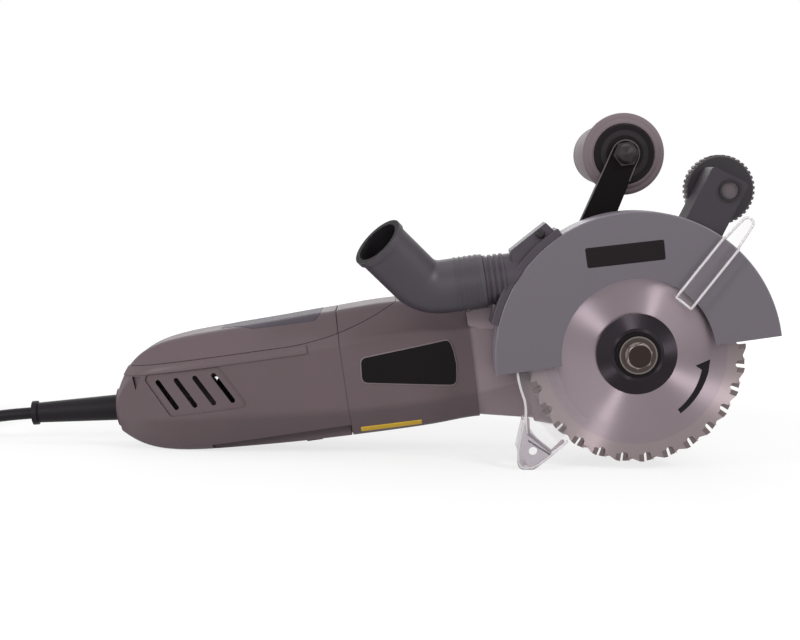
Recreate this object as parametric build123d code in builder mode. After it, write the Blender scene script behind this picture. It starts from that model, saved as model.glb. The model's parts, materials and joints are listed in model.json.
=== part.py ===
from build123d import *
import math
import os

# Dual blade saw, in millimetres. Pieces are drawn in a tool frame: X forwards along the motor axis,
# Y away from the blade side, Z up, with the blade axis on the Y axis and the blades either side of Y = 0.
# The finished saw is tilted nose up onto its heel and guard foot, and stands on the plane Z = 0.

# Clearances
FIT = 0.05
RUN = 0.08
GAP = 0.3
SEAM = 0.3

# Blades
BLADE_RADIUS = 62.5
PLATE_THICK = 1.4
BLADE_STEP = 2.6
TOOTH_COUNT = 28
FRONT_PHASE = 10.0
REAR_PHASE = 11.8
TOOTH_DROP = 3.3
TIP_WIDTH = 1.8
TIP_HEIGHT = 4.2
TIP_THICK = 2.6
TIP_PROUD = 0.3
GULLET_WIDTH = 4.0
GULLET_MOUTH = 5.5
GULLET_DEPTH = 5.6

# Spindle, sleeve and blade clamping
PILOT_R = 6.0
SHOULDER_R = 13.3
SPINDLE_R = 8.0
SPINDLE_TAIL_R = 7.5
BOLT_R = 4.0
BOLT_DEPTH = 16.0
BOLT_HEX = 13.0
BOLT_HEAD = 5.8
BOLT_COLLAR_R = 10.7
BOLT_COLLAR = 1.6
BOLT_CHAMFER = 0.7
BOLT_TURN = 12.0
WASHER_R = 13.0
WASHER_THICK = 1.6
OUTER_FLANGE_R = 23.0
OUTER_FLANGE_THICK = 6.0
OUTER_FLANGE_DISH = 1.2
REGISTER_R = 15.0
REGISTER_WALL = 1.0
REGISTER_RISE = 1.1
SLEEVE_FLANGE_R = 23.0
SLEEVE_FLANGE_THICK = 4.0
SLEEVE_R = 12.5
SLEEVE_SEAT_R = 11.0
SLEEVE_BORE_R = 10.0
BLADE_SCREW_R = 1.25
BLADE_SCREW_HEAD_R = 2.35
BLADE_SCREW_COUNT = 4
BLADE_SCREW_RING = 19.0

# Bevel drive
MOTOR_Y = 44.0
MODULE = 1.1
PINION_TEETH = 14
GEAR_TEETH = 42
PRESSURE = math.radians(25)
FACE_WIDTH = 7.5
BACKLASH = 0.3
ADDENDUM = 0.8 * MODULE
DEDENDUM = 1.05 * MODULE
ROOT_SINK = 0.3
GEAR_RIM = 3.5
GEAR_HUB_R = 14.0
PINION_TAIL = 4.0

# Bearings: bore radius, outer radius, width
SLEEVE_BEARING = (SLEEVE_R, 21.0, 9.0)
SPINDLE_BEARING = (SPINDLE_TAIL_R, 16.0, 9.0)
FRONT_BEARING = (5.0, 13.0, 8.0)
REAR_BEARING = (4.0, 11.0, 7.0)

# Gear case and its cover
SLEEVE_BEARING_Y = 12.0
BOSS_R = 24.5
BOSS_START = 6.6
COVER_R = 36.0
COVER_Y = 14.0
CASE_Y = 20.0
CASE_DEPTH = 56.0
CASE_BOTTOM = -37.0
CASE_TOP = 36.0
CASE_NOSE = 38.0
CASE_EDGE = 5.0
CASE_CUT = 9.0
COVER_SPIGOT = 2.0
NECK_FRONT = -60.0
NECK_SHIFT = 4.0
NECK_STEP = 0.9
# Shoulder lug on the near side of the neck, as side-view points
LUG_Y = 14.4
LUG_DEPTH = 14.0
LUG = ((-92.0, 26.0), (-92.0, 34.5), (-88.0, 36.0), (-70.0, 36.0), (-62.0, 30.0), (-62.0, 20.5))
CAP_R = 21.0
CAP_RISE = 2.5
HOUSING_SCREWS = ((-25.4, 17.0), (25.4, 17.0), (-19.7, -17.8), (19.7, -17.8))
BOSS_LENGTH = 7.0
SCREW_BOSS_R = 4.5
CHAMBER_R = 27.0
NECK_BORE_R = 22.0
SHAFT_HOLE_R = 9.0

# Housing seams
NECK_X = -92.0
HANDLE_X = -167.0
SEAM_Z = 30.0
SEAM_BEND_X = -200.0
SEAM_BEND_R = 150.0

# Housing
WALL = 2.5
BELT_RISE = 0.8
BELT_HEIGHT = 5.0
BELT_FRONT = -186.0
RECESS = 1.0
# Cross sections: x, bottom, crease, shoulder, crown, half width, half base, half crown, corner radius
SECTIONS = (
    (-303.5, -9.0, -2.0, 9.0, 13.0, 12.0, 8.0, 8.0, 4.0),
    (-296.0, -15.0, -2.0, 19.0, 26.0, 17.0, 10.0, 10.0, 4.0),
    (-284.0, -20.4, -2.5, 26.0, 36.5, 25.0, 14.0, 13.5, 5.0),
    (-262.0, -24.4, -4.0, 28.0, 42.6, 32.0, 18.5, 17.0, 7.0),
    (-232.0, -26.4, -6.5, 28.0, 44.0, 34.2, 20.5, 18.5, 8.0),
    (-200.0, -27.8, -9.5, 28.0, 44.8, 34.5, 21.0, 19.0, 8.0),
    (-167.0, -28.4, -12.0, 28.5, 46.0, 34.5, 21.0, 19.5, 7.0),
    (-138.0, -28.6, -13.0, 29.0, 46.6, 34.5, 21.0, 20.0, 7.0),
    (-114.0, -28.2, -13.0, 28.0, 44.4, 33.8, 20.6, 19.3, 7.0),
    (NECK_X, -27.6, -12.5, 26.0, 39.0, 32.0, 20.0, 18.0, 6.0),
)
# Front end of the gear case's neck, in the same terms
NECK_SECTION = (NECK_FRONT, -34.0, -10.0, 27.0, CASE_TOP, 28.0, 20.0, 20.0, 4.0)
VENT_COUNT = 4
VENT_STEP = 11.1
VENT_LENGTH = 21.0
VENT_WIDTH = 3.0
VENT_LEAN = -61.0
VENT_X = -253.8
VENT_Z = 11.5
VENT_PANEL_HEIGHT = 26.0
VENT_PANEL_LENGTH = 47.0
VENT_PANEL_CORNER = 3.0
# Three-cornered hole behind the belt's rear end, and the wall inside the handle that stands behind the vents
REAR_HOLE = ((-290.5, 24.0), (-284.6, 23.6), (-289.6, 16.0))
BAFFLE = (
    (-288.0, -17.0), (-251.5, -24.0), (-251.5, -8.0), (-245.5, -8.0), (-245.5, 15.0), (-228.0, 15.0),
    (-228.0, 25.0), (-288.0, 25.0),
)
BAFFLE_THICK = 1.6

# Motor
STATOR_R = 24.6
STATOR_BORE_R = 16.2
STATOR_REAR = -156.0
STATOR_FRONT = -108.0
COIL_OVERHANG = 6.0
COIL_R = 23.0
RIB_THICK = 4.0
ARMATURE_R = 15.6
ARMATURE_REAR = -154.0
ARMATURE_FRONT = -110.0
ARMATURE_SLOTS = 12
ARMATURE_SLOT = 1.6
ARMATURE_SLOT_DEPTH = 2.4
SHAFT_R = 5.0
SHAFT_NOSE_R = 3.5
COMMUTATOR_R = 11.5
COMMUTATOR_REAR = -192.0
COMMUTATOR_FRONT = -174.0
COMMUTATOR_BARS = 22
BAR_GAP = 0.5
BAR_GAP_DEPTH = 1.4
FAN_R = 19.5
FAN_REAR = -101.5
FAN_LENGTH = 8.5
FAN_BLADES = 9
FAN_HUB_R = 9.0
FAN_PLATE = 2.0
FAN_BLADE = 1.5
FAN_LEAN = 18.0
CARRIER_R = 19.0
CARRIER_BORE_R = 17.0
CARRIER_PLATE = 3.0
CARRIER_REAR = -207.0
CARRIER_END = 2.0
BRUSH_X = -183.0
BRUSH_WIDTH = 7.0
BRUSH_DEPTH = 10.0
BRUSH_LENGTH = 11.0
HOLDER_WALL = 1.2
HOLDER_LENGTH = 12.0

# Paddle switch and lock-off slider
PADDLE_REAR = -249.5
PADDLE_FRONT = -167.9
PADDLE_REAR_HALF = 16.2
PADDLE_FRONT_HALF = 20.0
PADDLE_WALL = 2.2
PADDLE_EDGE_REAR = -22.4
PADDLE_EDGE_FRONT = -21.0
PADDLE_TUCK = 2.0
PADDLE_PIN_X = -244.5
PADDLE_PIN_Z = -18.5
PADDLE_PIN_R = 2.0
PADDLE_PIN_HALF = 22.9
PADDLE_EAR = 4.5
PADDLE_LIFT = 3.2
SPRING_WIRE = 0.9
SPRING_R = 3.3
SPRING_TURNS = 4
SPRING_PITCH = 1.3
SLIDER_X = -191.0
SLIDER_LENGTH = 10.0
SLIDER_HALF = 4.0
SLIDER_DROP = 3.0
SLIDER_PLATE = 1.0
SLIDER_TRAVEL = 5.0
SWITCH_X = -228.0
SWITCH_LENGTH = 30.0
SWITCH_WIDTH = 20.0
SWITCH_Z = -14.0
SWITCH_HEIGHT = 28.0
SWITCH_RIB = 2.0
SWITCH_CORNER = 2.0

# Fixed guard
GUARD_R = 81.0
GUARD_INNER_R = 43.5
GUARD_FRONT_Y = -13.0
GUARD_FRONT_WALL = 2.0
GUARD_BACK_WALL = 2.5
GUARD_RIM = 2.0
GUARD_EDGE = 1.0
GUARD_SCREW_RING = 30.0
GUARD_SCREW_ANGLES = (40, 140, 220, 320)

# Clear swinging guard
CLEAR_R = 69.0
CLEAR_INNER_R = 46.0
CLEAR_HALF = 10.4
CLEAR_WALL = 2.2
CLEAR_HUB_R = 31.0
CLEAR_START = 70.0
CLEAR_END = 224.0
CLEAR_TRAVEL = 105.0
# Foot in the standing frame, from the blade axis: its two upper edges, then its tread on the floor and its hole
FOOT_LEFT = ((-60.4, -31.0), (-63.5, -41.0), (-66.3, -56.0))
FOOT_RIGHT = ((-46.0, -57.5), (-38.0, -50.0))
FOOT_REAR = -66.0
FOOT_FRONT = -56.5
FOOT_CORNER = 3.5
FOOT_HOLE = (-57.6, -56.0)
FOOT_HOLE_R = 2.4
LEVER_ANGLE = 44.0
LEVER_WIDTH = 12.0
LEVER_ROOT_R = 37.5
LEVER_ROOT = 5.0
LEVER_TIP_R = 98.0
LEVER_BACK_Y = -15.6
LEVER_THICK = 3.0
LEVER_CHANNEL = 7.0
LEVER_CHANNEL_DEPTH = 1.4
TAB_START_R = 80.0
TAB_ROOT = 10.0
TAB_WIDTH = 6.8
TAB_REACH = 8.0
CIRCLIP_WIDTH = 1.0
CIRCLIP_R = 27.0
CIRCLIP_SEAT_R = 24.0
CIRCLIP_MOUTH = 8.0

# Dust hood and elbow
HOOD_START = 114.8
HOOD_END = 160.0
HOOD_FAR_Y = 10.0
HOOD_STRIP = 4.2
HOOD_EDGE = 1.0
# Fin above the duct, as radii and angles of its outer corners
FIN = ((91.3, 117.3), (93.3, 132.9))
FIN_FOOT_ANGLE = 141.0
FIN_INSET = 2.5
DUCT_R = 9.8
DUCT_Z = 53.0
CUFF_START = 46.0
CUFF_END = -79.5
CUFF_R = 13.6
CUFF_RIB_R = 14.3
CUFF_BORE_R = 11.9
CUFF_RIBS = 4
CUFF_RIB = 1.6
SPIGOT_LENGTH = 8.0
ELBOW_R = 15.2
ELBOW_BORE_R = 13.0
ELBOW_RIBS = 5
ELBOW_RIB = 1.0
ELBOW_RIB_RISE = 0.4
SPIGOT_BORE_R = 10.0
ELBOW_CORNER = 113.5
ELBOW_STEP = 2.0
ELBOW_BEAD = 3.0
ELBOW_BEND = 56.0
ELBOW_BEND_R = 19.0
ELBOW_LEG = 41.0
ELBOW_LEAN = 25.0
HOOD_SCREW_AT_R = 88.1
HOOD_SCREW_ANGLE = 121.3
HOOD_SCREW_HEAD_R = 2.6

# Auxiliary handle
HANDLE_AXIS_X = 10.8
HANDLE_AXIS_Z = 112.6
ARM_BOLTS = ((-47.1, 14.7), (-41.0, 25.0))
ARM_FOOT_R = 10.5
ARM_EYE_R = 8.0
ARM_THICK = 4.2
ARM_BOLT_R = 3.0
ARM_BOLT_HEAD_R = 5.0
ARM_BOLT_HEAD = 1.5
ARM_BOLT_DEPTH = 9.0
GRIP_END_Y = 118.0
GRIP_FLANGE_R = 23.5
GRIP_FLANGE = 7.0
GRIP_FACE_R = 18.6
CORE_FLANGE_R = 17.6
CORE_FLANGE = 2.0
GRIP_EDGE = 1.5
GRIP_WAIST_R = 16.5
GRIP_SWELL_R = 19.0
GRIP_BORE_R = 11.0
HANDLE_END_R = 18.4
HANDLE_END_THICK = 6.0
HANDLE_RECESS = 8.0
HANDLE_BOLT_R = 4.0
HANDLE_BOLT_HEAD_R = 6.5
HANDLE_NUT_HEX = 13.0
HANDLE_NUT = 6.5

# Lubricant stick feeder
FEED_ANGLE = 55.5
FEED_WIDTH = 22.6
FEED_TOP_R = 113.0
FEED_NEAR_Y = -10.0
FEED_FAR_Y = 16.0
FEED_SHAFT_AT_R = 105.0
FEED_SHAFT_SIDE = -3.3
FEED_SHAFT_R = 4.75
FEED_RING_R = 6.0
FEED_RING = 1.5
FEED_CORNER = 2.0
FEED_ROOT = 10.0
WHEEL_R = 20.0
WHEEL_Y = 18.0
WHEEL_THICK = 9.0
WHEEL_FLUTES = 40
WHEEL_FLUTE_DEPTH = 0.8
WHEEL_FLUTE_WIDTH = 1.4
STICK_SIDE = 6.4
STICK_CHANNEL = 7.4
STICK_OFFSET = 4.95
STICK_TIP_R = 72.0
STICK_LENGTH = 30.0
STICK_TRAVEL = 8.0

# Cord boot
BOOT_X = -304.6
BOOT_Z = 4.7
BOOT_RISE = 4.1
BOOT_LENGTH = 51.7
BOOT_ROOT_R = 7.7
BOOT_END_R = 6.0
BOOT_RIM_R = 7.15
BOOT_RIM = 3.0
BOOT_NECK_R = 6.2
BOOT_INNER_R = 9.0
BOOT_INNER = 2.0
COLLAR_R = 11.2
COLLAR_LENGTH = 12.0

# Screws
SCREW_R = 2.0
SCREW_HEAD_R = 3.6
SCREW_HEAD = 2.2
SCREW_LENGTH = 12.0

# Stance and cord, in the standing frame
NOSE_UP = 9.3
CORD_R = 3.5
LAYER_STEP = 7.6
TURN_STEP = 7.6
COIL_INNER_R = 29.0
COIL_TURNS_IN = 3.5
COIL_TURNS_OUT = 3.0
COIL_STEPS = 4
COIL_LEAD = 7.0
COIL_TAIL = 54.0
COIL_SAMPLES = 900
CORD_FLOOR = 0.1
CORD_STRAIGHT = 16.0
# Free stretch of cord past its straight start: how far behind the boot and how high, one pair a point
CORD_ROUTE = ((36.0, 12.2), (56.0, 7.8))
CORD_LANDING = 76.0
CORD_END = 92.0
PLUG_NECK = 16.0
PLUG_NECK_R = 5.5
PLUG_BODY = 26.0
PLUG_PIN_R = 2.4
PLUG_PIN_LENGTH = 19.0
PLUG_PIN_STEP = 19.0
PLUG_HALF_WIDTH = 17.0
PLUG_CORNER = 2.0
PLUG_FLARE = 1.5
TIE_WIDTH = 9.0
TIE_THICK = 1.0
TIE_ANGLE = 60.0


TILT = Location((0, 0, 0), (0, -NOSE_UP, 0))


# Planes of the tool frame
def side(y):
    """Side-view plane at depth y: local x forwards, local y up, normal towards the blade side."""
    return Plane.XZ.offset(-y)


def station(x):
    """Cross-section plane on the motor axis: local x away, local y up, normal forwards."""
    return Plane((x, MOTOR_Y, 0), x_dir=(0, 1, 0), z_dir=(1, 0, 0))


def across(y):
    """Plane across the blade axis at depth y, normal away from the blade side."""
    return Plane((0, y, 0), x_dir=(1, 0, 0), z_dir=(0, 1, 0))


def radial(angle, y=0.0):
    """Plane through the blade axis point at depth y: local x outwards at the angle, normal to the blade side."""
    turn = math.radians(angle)
    return Plane((0, y, 0), x_dir=(math.cos(turn), 0, math.sin(turn)), z_dir=(0, -1, 0))


def polar(radius, angle):
    """Side-view point at a radius and an angle about the blade axis."""
    turn = math.radians(angle)
    return (radius * math.cos(turn), radius * math.sin(turn))


# Shapes that several pieces share
def turned(plane, points):
    """Solid of revolution about the plane's normal, from points given as distance along it and radius."""
    with BuildPart() as body:
        with BuildSketch(Plane(plane.origin, x_dir=plane.z_dir, z_dir=plane.y_dir)):
            with BuildLine():
                Polyline(*points, close=True)
            make_face()
        revolve(axis=Axis(plane.origin, plane.z_dir))
    return body.part


def ring(plane, length, outer, inner):
    """Plain ring along the plane's normal."""
    return turned(plane, ((0, inner), (length, inner), (length, outer), (0, outer)))


def rod(plane, length, radius):
    """Plain round bar along the plane's normal."""
    with BuildPart() as body:
        with BuildSketch(plane):
            Circle(radius)
        extrude(amount=length)
    return body.part


def ball_bearing(plane, sizes):
    """Shielded ball bearing: two races with a shield sunk between them on both faces."""
    bore, outer, width = sizes
    third = (outer - bore) / 3
    sink = width / 18
    points = (
        (0, bore), (width, bore), (width, bore + third), (width - sink, bore + third),
        (width - sink, outer - third), (width, outer - third), (width, outer - FIT),
        (0, outer - FIT), (0, outer - third), (sink, outer - third), (sink, bore + third), (0, bore + third),
    )
    return turned(plane, points)


def sector(inner, outer, start, end):
    """Side-view face of part of a flat ring, from one angle to another."""
    with BuildSketch() as face:
        with BuildLine():
            first = CenterArc((0, 0), outer, start, end - start)
            last = CenterArc((0, 0), inner, start, end - start)
            Line(first @ 0, last @ 0)
            Line(first @ 1, last @ 1)
        make_face()
    return face.sketch


def screw(plane, length, radius=SCREW_R, head_r=SCREW_HEAD_R, head=SCREW_HEAD):
    """Pan head screw whose head sits on the plane and whose shank runs along its normal."""
    return turned(plane, (
        (-head, 0), (length, 0), (length, radius), (0, radius), (0, head_r), (-head / 2, head_r), (-head, head_r / 2),
    ))


# Where the blades and the drive stand along the blade axis
FRONT_FACE = -(BLADE_STEP + PLATE_THICK) / 2
FRONT_BACK = FRONT_FACE + PLATE_THICK
REAR_FACE = (BLADE_STEP - PLATE_THICK) / 2
REAR_BACK = REAR_FACE + PLATE_THICK
PINION_R = MODULE * PINION_TEETH / 2
GEAR_R = MODULE * GEAR_TEETH / 2
CONE_LENGTH = math.hypot(PINION_R, GEAR_R)
FACE_SCALE = 1 - FACE_WIDTH / CONE_LENGTH
CARRIER_FRONT = HANDLE_X + SEAM
NEAR_HUB_Y = SLEEVE_BEARING_Y + SLEEVE_BEARING[2] + 2 * GAP
FAR_HUB_Y = 62.0
SPINDLE_BEARING_Y = FAR_HUB_Y
SPINDLE_END_Y = SPINDLE_BEARING_Y + SPINDLE_BEARING[2]
SLEEVE_END_Y = MOTOR_Y - PINION_R + 1.0


# Blades
TOOTH_PITCH = 2 * math.pi * BLADE_RADIUS / TOOTH_COUNT


def gullet(lead):
    """Gap in front of one tooth, its tip's seat and its falling back; lead is +1 for anticlockwise teeth."""
    root = BLADE_RADIUS - GULLET_DEPTH + GULLET_WIDTH / 2
    back_end = GULLET_MOUTH - TOOTH_PITCH
    seat = BLADE_RADIUS - TIP_HEIGHT
    past = BLADE_RADIUS + TIP_PROUD
    with BuildSketch() as gap:
        Polygon(
            (root, 0), (past, 0), (past, GULLET_MOUTH * lead), (root, GULLET_WIDTH * lead), align=None
        )
        with Locations((root, GULLET_WIDTH / 2 * lead)):
            Circle(GULLET_WIDTH / 2)
        Polygon((seat, 0), (past, 0), (past, -TIP_THICK * lead), (seat, -TIP_THICK * lead), align=None)
        Polygon(
            (BLADE_RADIUS - TIP_PROUD, -TIP_THICK * lead), (BLADE_RADIUS - TOOTH_DROP, back_end * lead),
            (past, back_end * lead), (past, -TIP_THICK * lead), align=None
        )
    return gap.sketch


def blade_plate(front_y, lead, phase, bore, screws):
    """Toothed disc whose front face is at front_y."""
    with BuildPart() as plate:
        with BuildSketch(side(front_y + PLATE_THICK)):
            Circle(BLADE_RADIUS - TIP_PROUD)
            Circle(bore, mode=Mode.SUBTRACT)
            with PolarLocations(0, TOOTH_COUNT, start_angle=phase):
                add(gullet(lead), mode=Mode.SUBTRACT)
        extrude(amount=PLATE_THICK)
        if screws:
            with Locations(side(front_y)):
                with PolarLocations(BLADE_SCREW_RING, BLADE_SCREW_COUNT):
                    CounterSinkHole(BLADE_SCREW_R, BLADE_SCREW_HEAD_R, depth=PLATE_THICK)
    return plate.part


def blade_tips(front_y, lead, phase):
    """Carbide tips, one seated in each tooth."""
    seat = BLADE_RADIUS - TIP_HEIGHT
    with BuildPart() as tips:
        with BuildSketch(side(front_y + (PLATE_THICK + TIP_WIDTH) / 2)):
            with PolarLocations(0, TOOTH_COUNT, start_angle=phase):
                Polygon(
                    (seat, 0), (BLADE_RADIUS, 0),
                    (BLADE_RADIUS - TIP_PROUD, -TIP_THICK * lead), (seat, -TIP_THICK * lead), align=None
                )
        extrude(amount=TIP_WIDTH)
    return tips.part


with BuildPart() as front_blade:
    add(blade_plate(FRONT_FACE, 1, FRONT_PHASE, PILOT_R + FIT, False))

with BuildPart() as front_blade_tips:
    add(blade_tips(FRONT_FACE, 1, FRONT_PHASE))

with BuildPart() as rear_blade:
    add(blade_plate(REAR_FACE, -1, REAR_PHASE, REGISTER_R + FIT, True))

with BuildPart() as rear_blade_tips:
    add(blade_tips(REAR_FACE, -1, REAR_PHASE))

# Blade clamping
FLANGE_Y = FRONT_FACE - OUTER_FLANGE_THICK
WASHER_Y = FLANGE_Y - WASHER_THICK
COLLAR_Y = WASHER_Y - BOLT_COLLAR

with BuildPart() as outer_flange:
    add(turned(across(FLANGE_Y), (
        (0, BOLT_R + GAP), (OUTER_FLANGE_THICK - OUTER_FLANGE_DISH, BOLT_R + GAP),
        (OUTER_FLANGE_THICK - OUTER_FLANGE_DISH, WASHER_R), (OUTER_FLANGE_THICK, WASHER_R + OUTER_FLANGE_DISH),
        (OUTER_FLANGE_THICK, OUTER_FLANGE_R), (OUTER_FLANGE_THICK / 2, OUTER_FLANGE_R), (0, WASHER_R + 2),
    )))

with BuildPart() as blade_washer:
    add(ring(across(WASHER_Y), WASHER_THICK, WASHER_R, BOLT_R + GAP))

with BuildPart() as blade_bolt:
    add(rod(across(COLLAR_Y), BOLT_COLLAR, BOLT_COLLAR_R))
    add(rod(across(COLLAR_Y), -COLLAR_Y + BOLT_DEPTH - 2, BOLT_R - FIT))
    with BuildSketch(side(COLLAR_Y)):
        RegularPolygon(BOLT_HEX / 2, 6, major_radius=False, rotation=BOLT_TURN)
    extrude(amount=BOLT_HEAD)
    chamfer(blade_bolt.faces().sort_by(Axis.Y)[0].edges(), BOLT_CHAMFER)

with BuildPart() as inner_spindle:
    add(turned(across(0), (
        (FRONT_FACE + GAP, BOLT_R), (BOLT_DEPTH, BOLT_R), (BOLT_DEPTH + BOLT_R / 2, 0),
        (SPINDLE_END_Y, 0), (SPINDLE_END_Y, SPINDLE_TAIL_R - FIT),
        (SPINDLE_BEARING_Y, SPINDLE_TAIL_R - FIT), (SPINDLE_BEARING_Y, SPINDLE_R),
        (REAR_BACK - 2 * GAP, SPINDLE_R), (REAR_BACK - 2 * GAP, SHOULDER_R), (FRONT_BACK, SHOULDER_R),
        (FRONT_BACK, PILOT_R), (FRONT_FACE + GAP, PILOT_R),
    )))

FLANGE_BACK = REAR_BACK + SLEEVE_FLANGE_THICK
with BuildPart() as outer_sleeve:
    add(turned(across(0), (
        (REAR_BACK, SLEEVE_BORE_R), (SLEEVE_END_Y, SLEEVE_BORE_R), (SLEEVE_END_Y, SLEEVE_SEAT_R),
        (NEAR_HUB_Y, SLEEVE_SEAT_R), (NEAR_HUB_Y, SLEEVE_R - FIT), (FLANGE_BACK, SLEEVE_R - FIT),
        (FLANGE_BACK, SLEEVE_FLANGE_R), (REAR_BACK, SLEEVE_FLANGE_R), (REAR_BACK, REGISTER_R),
        (REAR_BACK - REGISTER_RISE, REGISTER_R), (REAR_BACK - REGISTER_RISE, REGISTER_R - REGISTER_WALL),
        (REAR_BACK, REGISTER_R - REGISTER_WALL),
    )))
    with Locations(side(REAR_BACK)):
        with PolarLocations(BLADE_SCREW_RING, BLADE_SCREW_COUNT):
            Hole(BLADE_SCREW_R + FIT, depth=SLEEVE_FLANGE_THICK - GAP)

with BuildPart() as sleeve_bush:
    add(ring(across(REAR_BACK + GAP), SLEEVE_END_Y - REAR_BACK - 2 * GAP, SLEEVE_BORE_R - FIT, SPINDLE_R + RUN))

HEAD_CONE = BLADE_SCREW_HEAD_R - BLADE_SCREW_R
with BuildPart() as rear_blade_screws:
    for place in PolarLocations(BLADE_SCREW_RING, BLADE_SCREW_COUNT):
        spot = place.position
        add(turned(Plane((spot.X, REAR_FACE, spot.Y), x_dir=(1, 0, 0), z_dir=(0, 1, 0)), (
            (0, 0), (PLATE_THICK + SLEEVE_FLANGE_THICK - 2 * GAP, 0),
            (PLATE_THICK + SLEEVE_FLANGE_THICK - 2 * GAP, BLADE_SCREW_R - FIT), (HEAD_CONE, BLADE_SCREW_R - FIT),
            (0, BLADE_SCREW_HEAD_R - FIT),
        )))


# Bevel gears
def involute(angle):
    return math.tan(angle) - angle


def tooth_side(pitch_r, cone):
    """One flank of a tooth on the back cone, root to tip, as distances across and up from the pitch point."""
    virtual_r = pitch_r / math.cos(cone)
    base_r = virtual_r * math.cos(PRESSURE)
    half_width = (math.pi * MODULE - BACKLASH) / 4
    points = []
    for height in (-DEDENDUM - ROOT_SINK, -DEDENDUM / 2, 0, ADDENDUM / 2, ADDENDUM):
        radius = max(virtual_r + height, base_r)
        turn = half_width / virtual_r + involute(PRESSURE) - involute(math.acos(base_r / radius))
        points.append(((virtual_r + height) * math.sin(turn), (virtual_r + height) * math.cos(turn) - virtual_r))
    return points


def bevel_gear(apex, teeth, mate_r, tail):
    """Straight bevel gear; the apex plane's normal runs from the cone's apex to the gear's back.

    A tooth stands at the plane's x direction. The tail lists the blank's points behind the teeth,
    as distance from the apex and radius, ending at the bore.
    """
    pitch_r = MODULE * teeth / 2
    cone = math.atan2(pitch_r, mate_r)
    outer = Vector(mate_r + DEDENDUM * math.sin(cone), pitch_r - DEDENDUM * math.cos(cone))
    inner = outer * FACE_SCALE
    bore = tail[-1][1]
    flank = tooth_side(pitch_r, cone)
    outline = flank + [(-u, v) for u, v in reversed(flank)]
    pitch_point = apex.x_dir * pitch_r + apex.z_dir * mate_r
    with BuildPart() as tooth:
        for scale in (1.0, FACE_SCALE):
            end = Plane(apex.origin + pitch_point * scale, x_dir=-apex.y_dir, z_dir=pitch_point)
            with BuildSketch(end):
                Polygon(*[(u * scale, v * scale) for u, v in outline], align=None)
        loft(ruled=True)
    axis = Axis(apex.origin, apex.z_dir)
    with BuildPart() as gear:
        add(turned(apex, ((inner.X, bore), (inner.X, inner.Y), (outer.X, outer.Y), *tail)))
        add([tooth.part.rotate(axis, 360 * i / teeth) for i in range(teeth)])
    return gear.part


def crown_tail(hub_end, bore):
    """Back of a large bevel gear: a thin rim that steps down to its hub."""
    cone = math.atan2(GEAR_R, PINION_R)
    rim = PINION_R + DEDENDUM * math.sin(cone)
    edge = GEAR_R - DEDENDUM * math.cos(cone)
    return (
        (rim + GEAR_RIM, edge - 1), (rim + GEAR_RIM, GEAR_HUB_R), (hub_end, GEAR_HUB_R), (hub_end, bore),
    )


with BuildPart() as near_bevel_gear:
    near_apex = Plane((0, MOTOR_Y, 0), x_dir=(-1, 0, 0), z_dir=(0, -1, 0))
    add(bevel_gear(near_apex, GEAR_TEETH, PINION_R, crown_tail(MOTOR_Y - NEAR_HUB_Y, SLEEVE_SEAT_R + FIT)))

with BuildPart() as far_bevel_gear:
    far_apex = Plane((0, MOTOR_Y, 0), x_dir=(-1, 0, 0), z_dir=(0, 1, 0))
    add(bevel_gear(far_apex, GEAR_TEETH, PINION_R, crown_tail(FAR_HUB_Y - MOTOR_Y - GAP, SPINDLE_R + FIT)))

half_pitch = math.pi / PINION_TEETH
PINION_BACK = GEAR_R + PINION_TAIL
with BuildPart() as bevel_pinion:
    pinion_apex = Plane((0, MOTOR_Y, 0), x_dir=(0, math.cos(half_pitch), math.sin(half_pitch)), z_dir=(-1, 0, 0))
    pinion_root = PINION_R - DEDENDUM
    add(bevel_gear(pinion_apex, PINION_TEETH, GEAR_R, (
        (PINION_BACK, pinion_root), (PINION_BACK, SHAFT_NOSE_R + FIT),
    )))

# Bearings of the drive
FRONT_BEARING_X = -PINION_BACK - 14.0
REAR_BEARING_X = CARRIER_REAR + CARRIER_END

with BuildPart() as sleeve_bearing:
    add(ball_bearing(across(SLEEVE_BEARING_Y), SLEEVE_BEARING))

with BuildPart() as spindle_bearing:
    add(ball_bearing(across(SPINDLE_BEARING_Y), SPINDLE_BEARING))

with BuildPart() as armature_front_bearing:
    add(ball_bearing(station(FRONT_BEARING_X), FRONT_BEARING))

with BuildPart() as armature_rear_bearing:
    add(ball_bearing(station(REAR_BEARING_X), REAR_BEARING))

# Rotor
with BuildPart() as armature_shaft:
    add(turned(station(0), (
        (-GEAR_R * FACE_SCALE + 1, 0), (-GEAR_R * FACE_SCALE + 1, SHAFT_NOSE_R),
        (-PINION_BACK, SHAFT_NOSE_R), (-PINION_BACK, SHAFT_R - FIT),
        (REAR_BEARING_X + REAR_BEARING[2], SHAFT_R - FIT), (REAR_BEARING_X + REAR_BEARING[2], REAR_BEARING[0] - FIT),
        (REAR_BEARING_X + 0.5, REAR_BEARING[0] - FIT), (REAR_BEARING_X + 0.5, 0),
    )))

with BuildPart() as armature_core:
    add(ring(station(ARMATURE_REAR), ARMATURE_FRONT - ARMATURE_REAR, ARMATURE_R, SHAFT_R))
    with BuildSketch(station(ARMATURE_REAR)):
        with PolarLocations(ARMATURE_R, ARMATURE_SLOTS):
            Rectangle(ARMATURE_SLOT_DEPTH, ARMATURE_SLOT)
    extrude(amount=ARMATURE_FRONT - ARMATURE_REAR, mode=Mode.SUBTRACT)

with BuildPart() as commutator:
    add(ring(station(COMMUTATOR_REAR), COMMUTATOR_FRONT - COMMUTATOR_REAR, COMMUTATOR_R, SHAFT_R))
    with BuildSketch(station(COMMUTATOR_REAR)):
        with PolarLocations(COMMUTATOR_R, COMMUTATOR_BARS):
            Rectangle(BAR_GAP_DEPTH, BAR_GAP)
    extrude(amount=COMMUTATOR_FRONT - COMMUTATOR_REAR, mode=Mode.SUBTRACT)

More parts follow.
